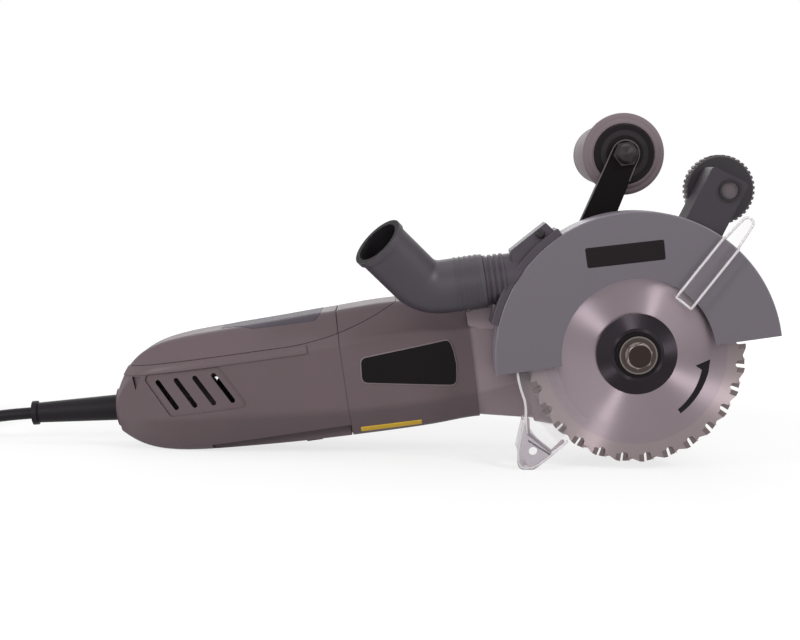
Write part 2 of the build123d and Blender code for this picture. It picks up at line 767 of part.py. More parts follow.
with BuildPart() as fan:
    add(ring(station(FAN_REAR), FAN_LENGTH, FAN_HUB_R, SHAFT_R))
    add(ring(station(FAN_REAR + FAN_LENGTH - FAN_PLATE), FAN_PLATE, FAN_R, SHAFT_R))
    with BuildSketch(station(FAN_REAR)):
        with PolarLocations((FAN_R + FAN_HUB_R) / 2 - 1, FAN_BLADES):
            Rectangle(FAN_R - FAN_HUB_R, FAN_BLADE, rotation=FAN_LEAN)
    extrude(amount=FAN_LENGTH)


# Housing shells
def housing_section(section, inset):
    """Rounded eight-sided outline of one cross section, drawn in all round by the inset."""
    _, low, crease, shoulder, crown, half, base, top, corner = section
    right = [
        (base - inset, low + inset), (half - inset, crease), (half - inset, shoulder), (top - inset, crown - inset),
    ]
    left = [(-away, z) for away, z in reversed(right)]
    with BuildSketch() as outline:
        Polygon(*right, *left, align=None)
        fillet(outline.vertices(), corner - inset / 2)
    return outline.sketch


def housing_form(inset, rear=0.0):
    """Smooth body through the cross sections, drawn in by the inset and, at its rear end, by the rear wall."""
    with BuildPart() as form:
        for i, section in enumerate(SECTIONS):
            with BuildSketch(station(section[0] + (0 if i else rear))):
                add(housing_section(section, inset))
        loft()
    return form.part


def bottom_at(x):
    """Height of the housing's underside at x, straight from one cross section to the next."""
    for rear, front in zip(SECTIONS, SECTIONS[1:]):
        if rear[0] <= x <= front[0]:
            return rear[1] + (front[1] - rear[1]) * (x - rear[0]) / (front[0] - rear[0])
    raise ValueError("x is outside the housing")


REAR_X = SECTIONS[0][0]
SPAN = 2 * max(section[5] for section in SECTIONS)
outer_form = housing_form(0)
inner_form = housing_form(WALL, WALL)
lining_form = housing_form(WALL + FIT)
recess_form = housing_form(RECESS)
belt_form = housing_form(-BELT_RISE)
shell_form = outer_form - inner_form

with BuildPart() as above_seam:
    with BuildSketch(side(MOTOR_Y)):
        with BuildLine():
            flat = Line((REAR_X - SPAN, SEAM_Z), (SEAM_BEND_X, SEAM_Z))
            rise = JernArc(flat @ 1, (1, 0), SEAM_BEND_R, 45)
            Polyline(rise @ 1, ((rise @ 1).X, 2 * SPAN), (REAR_X - SPAN, 2 * SPAN), flat @ 0)
        make_face()
    extrude(amount=SPAN, both=True)
below_seam_cut = above_seam.part.moved(Location((0, 0, -SEAM)))

with BuildPart() as vent_cut:
    with BuildSketch(side(MOTOR_Y)):
        with Locations((VENT_X, VENT_Z)):
            with GridLocations(VENT_STEP, 0, VENT_COUNT, 1):
                SlotOverall(VENT_LENGTH, VENT_WIDTH, rotation=VENT_LEAN)
        Polygon(*REAR_HOLE, align=None)
    extrude(amount=SPAN, both=True)

lean_shift = VENT_PANEL_HEIGHT / math.tan(math.radians(-VENT_LEAN)) / 2
with BuildPart() as vent_panel:
    with BuildSketch(side(MOTOR_Y)) as panel_outline:
        with Locations((VENT_X, VENT_Z)):
            Polygon(
                (-VENT_PANEL_LENGTH / 2 - lean_shift, VENT_PANEL_HEIGHT / 2),
                (VENT_PANEL_LENGTH / 2 - lean_shift, VENT_PANEL_HEIGHT / 2),
                (VENT_PANEL_LENGTH / 2 + lean_shift, -VENT_PANEL_HEIGHT / 2),
                (-VENT_PANEL_LENGTH / 2 + lean_shift, -VENT_PANEL_HEIGHT / 2), align=None
            )
        fillet(panel_outline.vertices(), VENT_PANEL_CORNER)
    extrude(amount=SPAN, both=True)
    add(recess_form, mode=Mode.SUBTRACT)

with BuildPart() as paddle_opening:
    with BuildSketch(side(MOTOR_Y)):
        Polygon(
            (PADDLE_REAR - GAP, PADDLE_EDGE_REAR), (HANDLE_X + SEAM, PADDLE_EDGE_FRONT),
            (HANDLE_X + SEAM, -SPAN), (PADDLE_REAR - GAP, -SPAN), align=None
        )
    extrude(amount=SPAN, both=True)

BOOT = Plane(
    (BOOT_X, MOTOR_Y, BOOT_Z), x_dir=(0, 1, 0),
    z_dir=(-math.cos(math.radians(BOOT_RISE)), 0, math.sin(math.radians(BOOT_RISE)))
)
collar_plane = BOOT.offset(-COLLAR_LENGTH)
paddle_pin_plane = Plane(
    (PADDLE_PIN_X, MOTOR_Y - PADDLE_PIN_HALF, PADDLE_PIN_Z), x_dir=(1, 0, 0), z_dir=(0, 1, 0)
)

with BuildPart() as handle_lower_shell:
    with BuildSketch(side(MOTOR_Y)):
        with Locations((REAR_X, SEAM_Z - SEAM)):
            Rectangle(BELT_FRONT - REAR_X, BELT_HEIGHT, align=(Align.MIN, Align.MAX))
    extrude(amount=SPAN, both=True)
    add(belt_form, mode=Mode.INTERSECT)
    add(rod(collar_plane, COLLAR_LENGTH, COLLAR_R))
    add(inner_form, mode=Mode.SUBTRACT)
    add(shell_form)
    with BuildSketch(station(SWITCH_X + SWITCH_LENGTH / 2)):
        with Locations((0, SWITCH_Z + PADDLE_EAR)):
            Rectangle(SPAN - 2 * WALL, SWITCH_HEIGHT - PADDLE_EAR, align=(Align.CENTER, Align.MIN))
    extrude(amount=SWITCH_RIB)
    add(below_seam_cut, mode=Mode.SUBTRACT)
    split(bisect_by=Plane.YZ.offset(HANDLE_X - SEAM / 2), keep=Keep.BOTTOM)
    add(vent_panel.part, mode=Mode.SUBTRACT)
    add(vent_cut.part, mode=Mode.SUBTRACT)
    with BuildSketch(side(MOTOR_Y)):
        Polygon(*BAFFLE, align=None)
    extrude(amount=BAFFLE_THICK)
    add(paddle_opening.part, mode=Mode.SUBTRACT)
    add(rod(collar_plane.offset(-WALL), COLLAR_LENGTH + 2 * WALL, BOOT_NECK_R + FIT), mode=Mode.SUBTRACT)
    add(rod(paddle_pin_plane, 2 * PADDLE_PIN_HALF, PADDLE_PIN_R + FIT), mode=Mode.SUBTRACT)

with BuildPart() as cover_groove:
    with BuildSketch(station(HANDLE_X - SEAM)):
        Rectangle(2 * SPAN, 2 * SPAN)
    extrude(amount=2 * SEAM)
    add(recess_form, mode=Mode.SUBTRACT)

with BuildPart() as handle_top_cover:
    add(shell_form)
    add(above_seam.part, mode=Mode.INTERSECT)
    add(cover_groove.part, mode=Mode.SUBTRACT)

with BuildPart() as motor_housing:
    for rib_x in (STATOR_REAR, STATOR_FRONT - RIB_THICK):
        with BuildSketch(station(rib_x)):
            Rectangle(SPAN, 2 * SPAN)
        extrude(amount=RIB_THICK)
    add(outer_form, mode=Mode.INTERSECT)
    add(rod(station(STATOR_REAR), STATOR_FRONT - STATOR_REAR, STATOR_R + FIT), mode=Mode.SUBTRACT)
    for y, z in HOUSING_SCREWS:
        boss_plane = Plane((NECK_X - BOSS_LENGTH, MOTOR_Y + y, z), z_dir=(1, 0, 0))
        add(rod(boss_plane, BOSS_LENGTH, SCREW_BOSS_R))
    add(shell_form)
    for y, z in HOUSING_SCREWS:
        boss_plane = Plane((NECK_X - BOSS_LENGTH, MOTOR_Y + y, z), z_dir=(1, 0, 0))
        add(rod(boss_plane, BOSS_LENGTH, SCREW_R + FIT), mode=Mode.SUBTRACT)
    add(below_seam_cut, mode=Mode.SUBTRACT)
    split(bisect_by=Plane.YZ.offset(HANDLE_X + SEAM / 2), keep=Keep.TOP)

# Motor
with BuildPart() as stator_core:
    add(ring(station(STATOR_REAR), STATOR_FRONT - STATOR_REAR, STATOR_R, STATOR_BORE_R))

with BuildPart() as field_coils:
    for start in (STATOR_REAR - COIL_OVERHANG, STATOR_FRONT):
        add(ring(station(start), COIL_OVERHANG, COIL_R, STATOR_BORE_R + 1.5))


def beside_commutator(length, height, near, far):
    """Pair of blocks on both sides of the commutator, between two distances from the motor axis."""
    with BuildPart() as pair:
        for way in (-1, 1):
            with Locations((BRUSH_X, MOTOR_Y + way * (near + far) / 2, 0)):
                Box(length, far - near, height)
    return pair.part


HOLDER_X = BRUSH_WIDTH + 2 * HOLDER_WALL
HOLDER_Z = BRUSH_DEPTH + 2 * HOLDER_WALL
HOLDER_NEAR = COMMUTATOR_R + 1.5
HOLDER_FAR = HOLDER_NEAR + HOLDER_LENGTH

with BuildPart() as brush_carrier:
    with BuildSketch(station(CARRIER_FRONT)):
        Rectangle(SPAN, 2 * SPAN)
    extrude(amount=CARRIER_PLATE)
    add(lining_form, mode=Mode.INTERSECT)
    add(below_seam_cut, mode=Mode.SUBTRACT)
    add(rod(station(CARRIER_REAR), CARRIER_FRONT - CARRIER_REAR, CARRIER_R))
    pocket_end = CARRIER_REAR + CARRIER_END + REAR_BEARING[2]
    add(rod(station(pocket_end), CARRIER_FRONT + CARRIER_PLATE - pocket_end, CARRIER_BORE_R), mode=Mode.SUBTRACT)
    add(rod(station(REAR_BEARING_X), REAR_BEARING[2], REAR_BEARING[1]), mode=Mode.SUBTRACT)
    add(rod(station(CARRIER_REAR), CARRIER_END, SHAFT_R + 1), mode=Mode.SUBTRACT)
    add(beside_commutator(HOLDER_X + 2 * FIT, HOLDER_Z + 2 * FIT, HOLDER_NEAR, HOLDER_FAR), mode=Mode.SUBTRACT)

with BuildPart() as brush_holders:
    add(beside_commutator(HOLDER_X, HOLDER_Z, HOLDER_NEAR, HOLDER_FAR))
    add(beside_commutator(BRUSH_WIDTH, BRUSH_DEPTH, HOLDER_NEAR, HOLDER_FAR - HOLDER_WALL), mode=Mode.SUBTRACT)

with BuildPart() as carbon_brushes:
    brush_near = COMMUTATOR_R + 2 * RUN
    add(beside_commutator(BRUSH_WIDTH - 2 * FIT, BRUSH_DEPTH - 2 * FIT, brush_near, brush_near + BRUSH_LENGTH))

# Switch, paddle and lock-off slider
with BuildPart() as switch_body:
    with Locations((SWITCH_X, MOTOR_Y, SWITCH_Z)):
        Box(SWITCH_LENGTH, SWITCH_WIDTH, SWITCH_HEIGHT, align=(Align.CENTER, Align.CENTER, Align.MIN))
    fillet(switch_body.edges().filter_by(Axis.Z), SWITCH_CORNER)

with BuildPart() as paddle_switch:
    with BuildSketch(Plane.XY.offset(-SPAN)):
        Polygon(
            (PADDLE_REAR, MOTOR_Y - PADDLE_REAR_HALF), (PADDLE_FRONT, MOTOR_Y - PADDLE_FRONT_HALF),
            (PADDLE_FRONT, MOTOR_Y + PADDLE_FRONT_HALF), (PADDLE_REAR, MOTOR_Y + PADDLE_REAR_HALF), align=None
        )
    extrude(amount=SPAN)
    with BuildSketch(side(MOTOR_Y)):
        Polygon(
            (PADDLE_REAR, -SPAN), (PADDLE_FRONT, -SPAN), (PADDLE_FRONT, PADDLE_EDGE_FRONT + PADDLE_TUCK),
            (PADDLE_PIN_X + 2 * PADDLE_EAR, PADDLE_EDGE_REAR + PADDLE_TUCK),
            (PADDLE_PIN_X + PADDLE_EAR, PADDLE_PIN_Z + PADDLE_EAR), (PADDLE_REAR, PADDLE_PIN_Z + PADDLE_EAR),
            align=None
        )
    extrude(amount=SPAN, both=True, mode=Mode.INTERSECT)
    add(outer_form, mode=Mode.INTERSECT)
    with BuildSketch(Plane.XY.offset(-SPAN)):
        Polygon(
            (PADDLE_REAR - 1, MOTOR_Y - PADDLE_REAR_HALF + PADDLE_WALL),
            (PADDLE_FRONT + 1, MOTOR_Y - PADDLE_FRONT_HALF + PADDLE_WALL),
            (PADDLE_FRONT + 1, MOTOR_Y + PADDLE_FRONT_HALF - PADDLE_WALL),
            (PADDLE_REAR - 1, MOTOR_Y + PADDLE_REAR_HALF - PADDLE_WALL), align=None
        )
    paddle_hollow = extrude(amount=SPAN, mode=Mode.PRIVATE)
    add(paddle_hollow & inner_form, mode=Mode.SUBTRACT)
    add(rod(paddle_pin_plane, 2 * PADDLE_PIN_HALF, PADDLE_PIN_R + RUN), mode=Mode.SUBTRACT)
    with Locations((SLIDER_X + SLIDER_TRAVEL / 2, MOTOR_Y, bottom_at(SLIDER_X))):
        Box(SLIDER_LENGTH + SLIDER_TRAVEL + 2 * GAP, 2 * SLIDER_HALF + 2 * GAP, 4 * WALL, mode=Mode.SUBTRACT)

SLIDER_REST = bottom_at(SLIDER_X) + WALL + 2 * GAP
with BuildPart() as lock_off_slider:
    with Locations((SLIDER_X, MOTOR_Y, SLIDER_REST)):
        Box(
            SLIDER_LENGTH + 2 * SLIDER_TRAVEL, 2 * SLIDER_HALF + SLIDER_TRAVEL, SLIDER_PLATE,
            align=(Align.CENTER, Align.CENTER, Align.MIN)
        )
        Box(
            SLIDER_LENGTH, 2 * SLIDER_HALF, WALL + 2 * GAP + SLIDER_DROP,
            align=(Align.CENTER, Align.CENTER, Align.MAX)
        )
    fillet(lock_off_slider.faces().sort_by(Axis.Z)[0].edges(), 1)

with BuildPart() as paddle_pin:
    add(rod(paddle_pin_plane, 2 * PADDLE_PIN_HALF, PADDLE_PIN_R))

with BuildPart() as paddle_spring:
    spring_length = SPRING_TURNS * SPRING_PITCH
    spring_plane = paddle_pin_plane.offset(PADDLE_PIN_HALF - spring_length / 2)
    with BuildLine() as spring_line:
        Helix(SPRING_PITCH, spring_length, SPRING_R, spring_plane.origin, spring_plane.z_dir)
    spring_wire = spring_line.wires()[0]
    with BuildSketch(Plane(spring_wire @ 0, x_dir=spring_plane.z_dir, z_dir=spring_wire % 0)):
        Rectangle(SPRING_WIRE, SPRING_WIRE)
    sweep(is_frenet=True)

# Gear case
with BuildPart() as gear_case_neck:
    with BuildSketch(station(NECK_X)):
        add(housing_section(SECTIONS[-1], NECK_STEP))
    with BuildSketch(Plane(station(NECK_FRONT).origin + (0, NECK_SHIFT, 0), x_dir=(0, 1, 0), z_dir=(1, 0, 0))):
        add(housing_section(NECK_SECTION, 0))
    loft()

with BuildPart() as gear_case:
    with BuildSketch(side(CASE_Y)) as case_outline:
        Polygon(
            (NECK_FRONT - 1, NECK_SECTION[1]), (NECK_FRONT + 8, CASE_BOTTOM),
            (CASE_NOSE - CASE_CUT, CASE_BOTTOM), (CASE_NOSE, CASE_BOTTOM + CASE_CUT),
            (CASE_NOSE, CASE_TOP - CASE_CUT), (CASE_NOSE - CASE_CUT, CASE_TOP),
            (NECK_FRONT - 1, CASE_TOP), align=None
        )
        fillet(case_outline.vertices().filter_by_position(Axis.X, 0, CASE_NOSE + 1), CASE_EDGE)
    extrude(amount=-CASE_DEPTH)
    far_edges = gear_case.faces().sort_by(Axis.Y)[-1].edges()
    fillet(far_edges.filter_by_position(Axis.X, NECK_FRONT, CASE_NOSE + 1), CASE_EDGE)
    add(gear_case_neck.part)
    with BuildSketch(side(LUG_Y)):
        Polygon(*LUG, align=None)
    extrude(amount=-LUG_DEPTH)
    add(turned(across(CASE_Y + CASE_DEPTH), ((-1, 0), (CAP_RISE, 0), (CAP_RISE, CAP_R - CAP_RISE), (0, CAP_R), (-1, CAP_R))))
    add(rod(across(CASE_Y), FAR_HUB_Y - CASE_Y, CHAMBER_R), mode=Mode.SUBTRACT)
    add(rod(across(FAR_HUB_Y), SPINDLE_BEARING[2] + GAP, SPINDLE_BEARING[1]), mode=Mode.SUBTRACT)
    add(rod(station(NECK_X), NECK_FRONT - NECK_X, NECK_BORE_R), mode=Mode.SUBTRACT)
    add(rod(station(NECK_X), FRONT_BEARING_X + FRONT_BEARING[2] - NECK_X, FRONT_BEARING[1]), mode=Mode.SUBTRACT)
    add(rod(station(NECK_X), -NECK_X, SHAFT_HOLE_R), mode=Mode.SUBTRACT)
    for y, z in HOUSING_SCREWS:
        add(rod(Plane((NECK_X, MOTOR_Y + y, z), z_dir=(1, 0, 0)), SCREW_LENGTH, SCREW_R + FIT), mode=Mode.SUBTRACT)
    for x, z in ARM_BOLTS:
        add(rod(Plane((x, CASE_Y, z), z_dir=(0, 1, 0)), ARM_BOLT_DEPTH + GAP, ARM_BOLT_R + FIT), mode=Mode.SUBTRACT)

with BuildPart() as housing_screws:
    for y, z in HOUSING_SCREWS:
        head_plane = Plane((NECK_X - BOSS_LENGTH, MOTOR_Y + y, z), z_dir=(1, 0, 0))
        add(screw(head_plane, BOSS_LENGTH + SCREW_LENGTH - GAP))

CLIP_Y = BOSS_START + GAP
with BuildPart() as gear_case_cover:
    add(turned(across(0), (
        (BOSS_START, SLEEVE_R + GAP), (SLEEVE_BEARING_Y, SLEEVE_R + GAP), (SLEEVE_BEARING_Y, SLEEVE_BEARING[1]),
        (CASE_Y + COVER_SPIGOT, SLEEVE_BEARING[1]), (CASE_Y + COVER_SPIGOT, CHAMBER_R - FIT),
        (CASE_Y, CHAMBER_R - FIT), (CASE_Y, COVER_R), (COVER_Y, COVER_R), (COVER_Y, BOSS_R),
        (CLIP_Y + CIRCLIP_WIDTH + FIT, BOSS_R), (CLIP_Y + CIRCLIP_WIDTH + FIT, CIRCLIP_SEAT_R),
        (CLIP_Y - FIT, CIRCLIP_SEAT_R), (CLIP_Y - FIT, BOSS_R), (BOSS_START, BOSS_R),
    )))
    for angle in GUARD_SCREW_ANGLES:
        x, z = polar(GUARD_SCREW_RING, angle)
        add(rod(Plane((x, COVER_Y, z), z_dir=(0, 1, 0)), CASE_Y - COVER_Y, SCREW_R + FIT), mode=Mode.SUBTRACT)

with BuildPart() as guard_retaining_ring:
    with BuildSketch(side(CLIP_Y + CIRCLIP_WIDTH)):
        add(sector(CIRCLIP_SEAT_R + FIT, CIRCLIP_R, -90 + CIRCLIP_MOUTH, 270 - CIRCLIP_MOUTH))
    extrude(amount=CIRCLIP_WIDTH)

# Fixed guard
GUARD_BACK_Y = COVER_Y - GUARD_BACK_WALL
LUBE = radial(FEED_ANGLE)
DUCT = Plane((0, 0, DUCT_Z), x_dir=(0, 1, 0), z_dir=(-1, 0, 0))

with BuildPart() as stick_cut:
    with BuildSketch(LUBE.offset(-STICK_CHANNEL / 2)):
        with Locations((0, STICK_OFFSET)):
            Rectangle(FEED_TOP_R + 1, STICK_CHANNEL, align=(Align.MIN, Align.CENTER))
    extrude(amount=STICK_CHANNEL)

with BuildPart() as upper_guard:
    with BuildSketch(side(COVER_Y)):
        add(sector(GUARD_R - GUARD_RIM, GUARD_R, 0, 180))
    extrude(amount=COVER_Y - GUARD_FRONT_Y)
    with BuildSketch(side(GUARD_FRONT_Y + GUARD_FRONT_WALL)):
        add(sector(GUARD_INNER_R, GUARD_R, 0, 180))
    extrude(amount=GUARD_FRONT_WALL)
    front_edges = upper_guard.faces().sort_by(Axis.Y)[0].edges().filter_by(GeomType.CIRCLE)
    fillet(front_edges.sort_by(SortBy.RADIUS)[-1], GUARD_EDGE)
    add(stick_cut.part, mode=Mode.SUBTRACT)
    add(rod(DUCT, GUARD_R, DUCT_R), mode=Mode.SUBTRACT)
    with BuildSketch(side(COVER_Y)):
        add(sector(BOSS_R + FIT, GUARD_R - GUARD_RIM / 2, 0, 180))
        Circle(COVER_R)
        Circle(BOSS_R + FIT, mode=Mode.SUBTRACT)
    extrude(amount=GUARD_BACK_WALL)
    with Locations(side(GUARD_BACK_Y)):
        for angle in GUARD_SCREW_ANGLES:
            with Locations(polar(GUARD_SCREW_RING, angle)):
                CounterSinkHole(SCREW_R + FIT, SCREW_HEAD_R + FIT, depth=GUARD_BACK_WALL)

HEAD_SLOPE = SCREW_HEAD_R - SCREW_R
with BuildPart() as guard_screws:
    for angle in GUARD_SCREW_ANGLES:
        x, z = polar(GUARD_SCREW_RING, angle)
        add(turned(Plane((x, GUARD_BACK_Y, z), z_dir=(0, 1, 0)), (
            (FIT, 0), (CASE_Y - GUARD_BACK_Y - GAP, 0), (CASE_Y - GUARD_BACK_Y - GAP, SCREW_R),
            (HEAD_SLOPE + FIT, SCREW_R), (FIT, SCREW_HEAD_R),
        )))

# Dust hood and elbow
FIN_Y = GUARD_FRONT_Y + FIN_INSET
hood_screw_x, hood_screw_z = polar(HOOD_SCREW_AT_R, HOOD_SCREW_ANGLE)
HOOD_SCREW = Plane((hood_screw_x, FIN_Y, hood_screw_z), x_dir=(1, 0, 0), z_dir=(0, 1, 0))

with BuildPart() as dust_hood:
    with BuildSketch(side(HOOD_FAR_Y)):
        add(sector(GUARD_R, GUARD_R + HOOD_STRIP, HOOD_START, HOOD_END))
    extrude(amount=HOOD_FAR_Y - GUARD_FRONT_Y)
    fillet(dust_hood.faces().filter_by(GeomType.CYLINDER).sort_by(SortBy.AREA)[-1].edges(), HOOD_EDGE)
    with BuildSketch(side(HOOD_FAR_Y - FIN_INSET)):
        Polygon(
            polar(GUARD_R, HOOD_START + HOOD_EDGE), *[polar(*corner) for corner in FIN],
            polar(GUARD_R, FIN_FOOT_ANGLE), align=None
        )
    extrude(amount=HOOD_FAR_Y - FIN_INSET - FIN_Y)
    add(rod(DUCT.offset(CUFF_START), -CUFF_END - CUFF_START, CUFF_R))
    for i in range(CUFF_RIBS):
        add(rod(DUCT.offset(-CUFF_END - CUFF_RIB * (2 * i + 1)), CUFF_RIB, CUFF_RIB_R))
    add(rod(across(GUARD_FRONT_Y - CUFF_R), 4 * CUFF_R, GUARD_R + FIT), mode=Mode.SUBTRACT)
    add(rod(DUCT, -CUFF_END, DUCT_R), mode=Mode.SUBTRACT)
    add(rod(DUCT.offset(-CUFF_END - SPIGOT_LENGTH - GAP), SPIGOT_LENGTH + GAP, CUFF_BORE_R), mode=Mode.SUBTRACT)
    add(rod(HOOD_SCREW, SCREW_LENGTH, SCREW_R + FIT), mode=Mode.SUBTRACT)

with BuildPart() as hood_screw:
    add(screw(HOOD_SCREW, SCREW_LENGTH - GAP, head_r=HOOD_SCREW_HEAD_R))

lean = math.radians(ELBOW_LEAN)
bend = math.radians(ELBOW_BEND)
ELBOW = Plane((0, 0, DUCT_Z), x_dir=(-1, 0, 0), z_dir=(0, math.cos(lean), math.sin(lean)))
ELBOW_START = -CUFF_END + GAP
with BuildPart() as dust_elbow:
    with BuildLine(ELBOW) as elbow_line:
        leg_end = (ELBOW_CORNER + ELBOW_LEG * math.cos(bend), ELBOW_LEG * math.sin(bend))
        FilletPolyline((ELBOW_START, 0), (ELBOW_CORNER, 0), leg_end, radius=ELBOW_BEND_R)
    elbow_wire = elbow_line.wires()[0]
    elbow_root = Plane(elbow_wire @ 0, z_dir=elbow_wire % 0)
    elbow_mouth = Plane(elbow_wire @ 1, z_dir=elbow_wire % 1)
    with BuildSketch(elbow_root):
        Circle(ELBOW_R)
        Circle(ELBOW_BORE_R, mode=Mode.SUBTRACT)
    sweep()
    add(ring(elbow_root, ELBOW_STEP, ELBOW_R, SPIGOT_BORE_R))
    for i in range(ELBOW_RIBS):
        add(ring(elbow_root.offset(3 * ELBOW_RIB * (i + 1)), ELBOW_RIB, ELBOW_R + ELBOW_RIB_RISE, ELBOW_BORE_R))
    add(ring(elbow_root.offset(-SPIGOT_LENGTH), SPIGOT_LENGTH, CUFF_BORE_R - RUN, SPIGOT_BORE_R))
    add(ring(elbow_mouth.offset(-ELBOW_BEAD), ELBOW_BEAD, ELBOW_R + ELBOW_STEP / 2, ELBOW_BORE_R))

# Clear swinging guard with its finger lever and foot
HEEL_DROP = -handle_lower_shell.part.moved(TILT).bounding_box().min.Z
FLOOR = radial(-NOSE_UP)
FRONT_WALL = -CLEAR_HALF + CLEAR_WALL

with BuildPart() as clear_guard:
    with BuildSketch(side(CLEAR_HALF)):
        add(sector(CLEAR_HUB_R - 1, CLEAR_R, CLEAR_START, CLEAR_END))
        Circle(CLEAR_HUB_R)
        Circle(BOSS_R + 2 * RUN, mode=Mode.SUBTRACT)
    extrude(amount=CLEAR_WALL)
    with BuildSketch(side(CLEAR_HALF)):
        add(sector(CLEAR_R - CLEAR_WALL, CLEAR_R, CLEAR_START, CLEAR_END))
    extrude(amount=2 * CLEAR_HALF)
    with BuildSketch(side(FRONT_WALL)):
        add(sector(CLEAR_INNER_R, CLEAR_R, LEVER_ANGLE - TAB_REACH, CLEAR_END))
        add(sector(LEVER_ROOT_R, CLEAR_INNER_R + 1, LEVER_ANGLE - TAB_REACH, LEVER_ANGLE + TAB_REACH))
    extrude(amount=CLEAR_WALL)
    with BuildSketch(FLOOR.offset(-FRONT_WALL)) as foot_outline:
        Polygon(*FOOT_LEFT, (FOOT_REAR, -HEEL_DROP), (FOOT_FRONT, -HEEL_DROP), *FOOT_RIGHT, align=None)
        fillet(foot_outline.vertices().group_by(Axis.Y)[0], FOOT_CORNER)
        Circle(CLEAR_R - 1, mode=Mode.SUBTRACT)
        with Locations(FOOT_HOLE):
            Circle(FOOT_HOLE_R, mode=Mode.SUBTRACT)
    extrude(amount=CLEAR_WALL)
    with BuildSketch(FLOOR.offset(-CLEAR_HALF)):
        Polygon(*FOOT_LEFT, *[(x + CLEAR_WALL, z) for x, z in reversed(FOOT_LEFT)], align=None)
        with Locations(((FOOT_REAR + FOOT_FRONT) / 2, -HEEL_DROP)):
            Rectangle(FOOT_FRONT - FOOT_REAR - 2 * FOOT_CORNER, CLEAR_WALL, align=(Align.CENTER, Align.MIN))
    extrude(amount=2 * CLEAR_HALF)
    with BuildSketch(radial(LEVER_ANGLE, FRONT_WALL)):
        with Locations((LEVER_ROOT_R, 0)):
            Rectangle(LEVER_ROOT, LEVER_WIDTH, align=(Align.MIN, Align.CENTER))
    extrude(amount=FRONT_WALL - LEVER_BACK_Y + LEVER_THICK)
    with BuildSketch(radial(LEVER_ANGLE, LEVER_BACK_Y)) as lever_outline:
        with Locations((LEVER_ROOT_R, 0)):
            Rectangle(TAB_START_R - LEVER_ROOT_R + 1, LEVER_WIDTH, align=(Align.MIN, Align.CENTER))
        Polygon(
            (TAB_START_R, -TAB_ROOT / 2), (LEVER_TIP_R, -TAB_WIDTH / 2),
            (LEVER_TIP_R, TAB_WIDTH / 2), (TAB_START_R, TAB_ROOT / 2), align=None
        )
        fillet(lever_outline.vertices().group_by(Axis.X)[-1], TAB_WIDTH / 3)
    extrude(amount=LEVER_THICK)
    with BuildSketch(radial(LEVER_ANGLE, LEVER_BACK_Y - LEVER_THICK)):
        with Locations(((LEVER_ROOT_R + TAB_START_R) / 2, 0)):
            SlotOverall(TAB_START_R - LEVER_ROOT_R - LEVER_WIDTH, LEVER_CHANNEL)
    extrude(amount=-LEVER_CHANNEL_DEPTH, mode=Mode.SUBTRACT)


# Auxiliary handle
def handle_axis(y):
    """Plane across the auxiliary handle's axis at depth y, normal away from the blade side."""
    return Plane((HANDLE_AXIS_X, y, HANDLE_AXIS_Z), x_dir=(1, 0, 0), z_dir=(0, 1, 0))


ARM_Y = CASE_Y - ARM_THICK
with BuildPart() as handle_arm:
    with BuildSketch(side(CASE_Y)):
        with Locations(ARM_BOLTS[0]):
            Circle(ARM_FOOT_R)
        with Locations((HANDLE_AXIS_X, HANDLE_AXIS_Z)):
            Circle(ARM_EYE_R)
        make_hull()
        with Locations((HANDLE_AXIS_X, HANDLE_AXIS_Z)):
            Circle(HANDLE_BOLT_R + FIT, mode=Mode.SUBTRACT)
        with Locations(*ARM_BOLTS):
            Circle(ARM_BOLT_R + FIT, mode=Mode.SUBTRACT)
    extrude(amount=ARM_THICK)

with BuildPart() as arm_bolts:
    for x, z in ARM_BOLTS:
        plane = Plane((x, ARM_Y, z), x_dir=(1, 0, 0), z_dir=(0, 1, 0))
        add(screw(plane, ARM_THICK + ARM_BOLT_DEPTH, ARM_BOLT_R, ARM_BOLT_HEAD_R, ARM_BOLT_HEAD))

RECESS_Y = GRIP_END_Y + HANDLE_END_THICK - HANDLE_RECESS
with BuildPart() as handle_core:
    add(turned(handle_axis(0), (
        (CASE_Y, HANDLE_BOLT_R + FIT), (RECESS_Y, HANDLE_BOLT_R + FIT), (RECESS_Y, HANDLE_BOLT_HEAD_R + 1),
        (GRIP_END_Y + HANDLE_END_THICK, HANDLE_BOLT_HEAD_R + 1),
        (GRIP_END_Y + HANDLE_END_THICK, HANDLE_END_R - GRIP_EDGE),
        (GRIP_END_Y + HANDLE_END_THICK - GRIP_EDGE, HANDLE_END_R), (GRIP_END_Y, HANDLE_END_R),
        (GRIP_END_Y, GRIP_BORE_R), (CASE_Y + CORE_FLANGE, GRIP_BORE_R), (CASE_Y + CORE_FLANGE, CORE_FLANGE_R),
        (CASE_Y, CORE_FLANGE_R - CORE_FLANGE / 2),
    )))

with BuildPart() as handle_grip:
    with BuildSketch(Plane(handle_axis(0).origin, x_dir=(0, 1, 0), z_dir=handle_axis(0).y_dir)):
        with BuildLine():
            grip_start = CASE_Y + CORE_FLANGE
            flange_end = (grip_start + GRIP_FLANGE, GRIP_FLANGE_R - GRIP_EDGE)
            neck = (CASE_Y + 2 * GRIP_FLANGE, GRIP_WAIST_R)
            swell = ((CASE_Y + GRIP_END_Y) / 2, GRIP_SWELL_R)
            grip_end = (GRIP_END_Y, HANDLE_END_R)
            ThreePointArc(neck, swell, grip_end)
            Polyline(
                grip_end, (GRIP_END_Y, GRIP_BORE_R + FIT), (grip_start, GRIP_BORE_R + FIT),
                (grip_start, GRIP_FACE_R), (grip_start + GRIP_EDGE, GRIP_FLANGE_R - 2 * GRIP_EDGE)
            )
            flange_top = (grip_start + GRIP_FLANGE / 2, GRIP_FLANGE_R)
            ThreePointArc((grip_start + GRIP_EDGE, GRIP_FLANGE_R - 2 * GRIP_EDGE), flange_top, flange_end)
            Line(flange_end, neck)
        make_face()
    revolve(axis=Axis(handle_axis(0).origin, (0, 1, 0)))

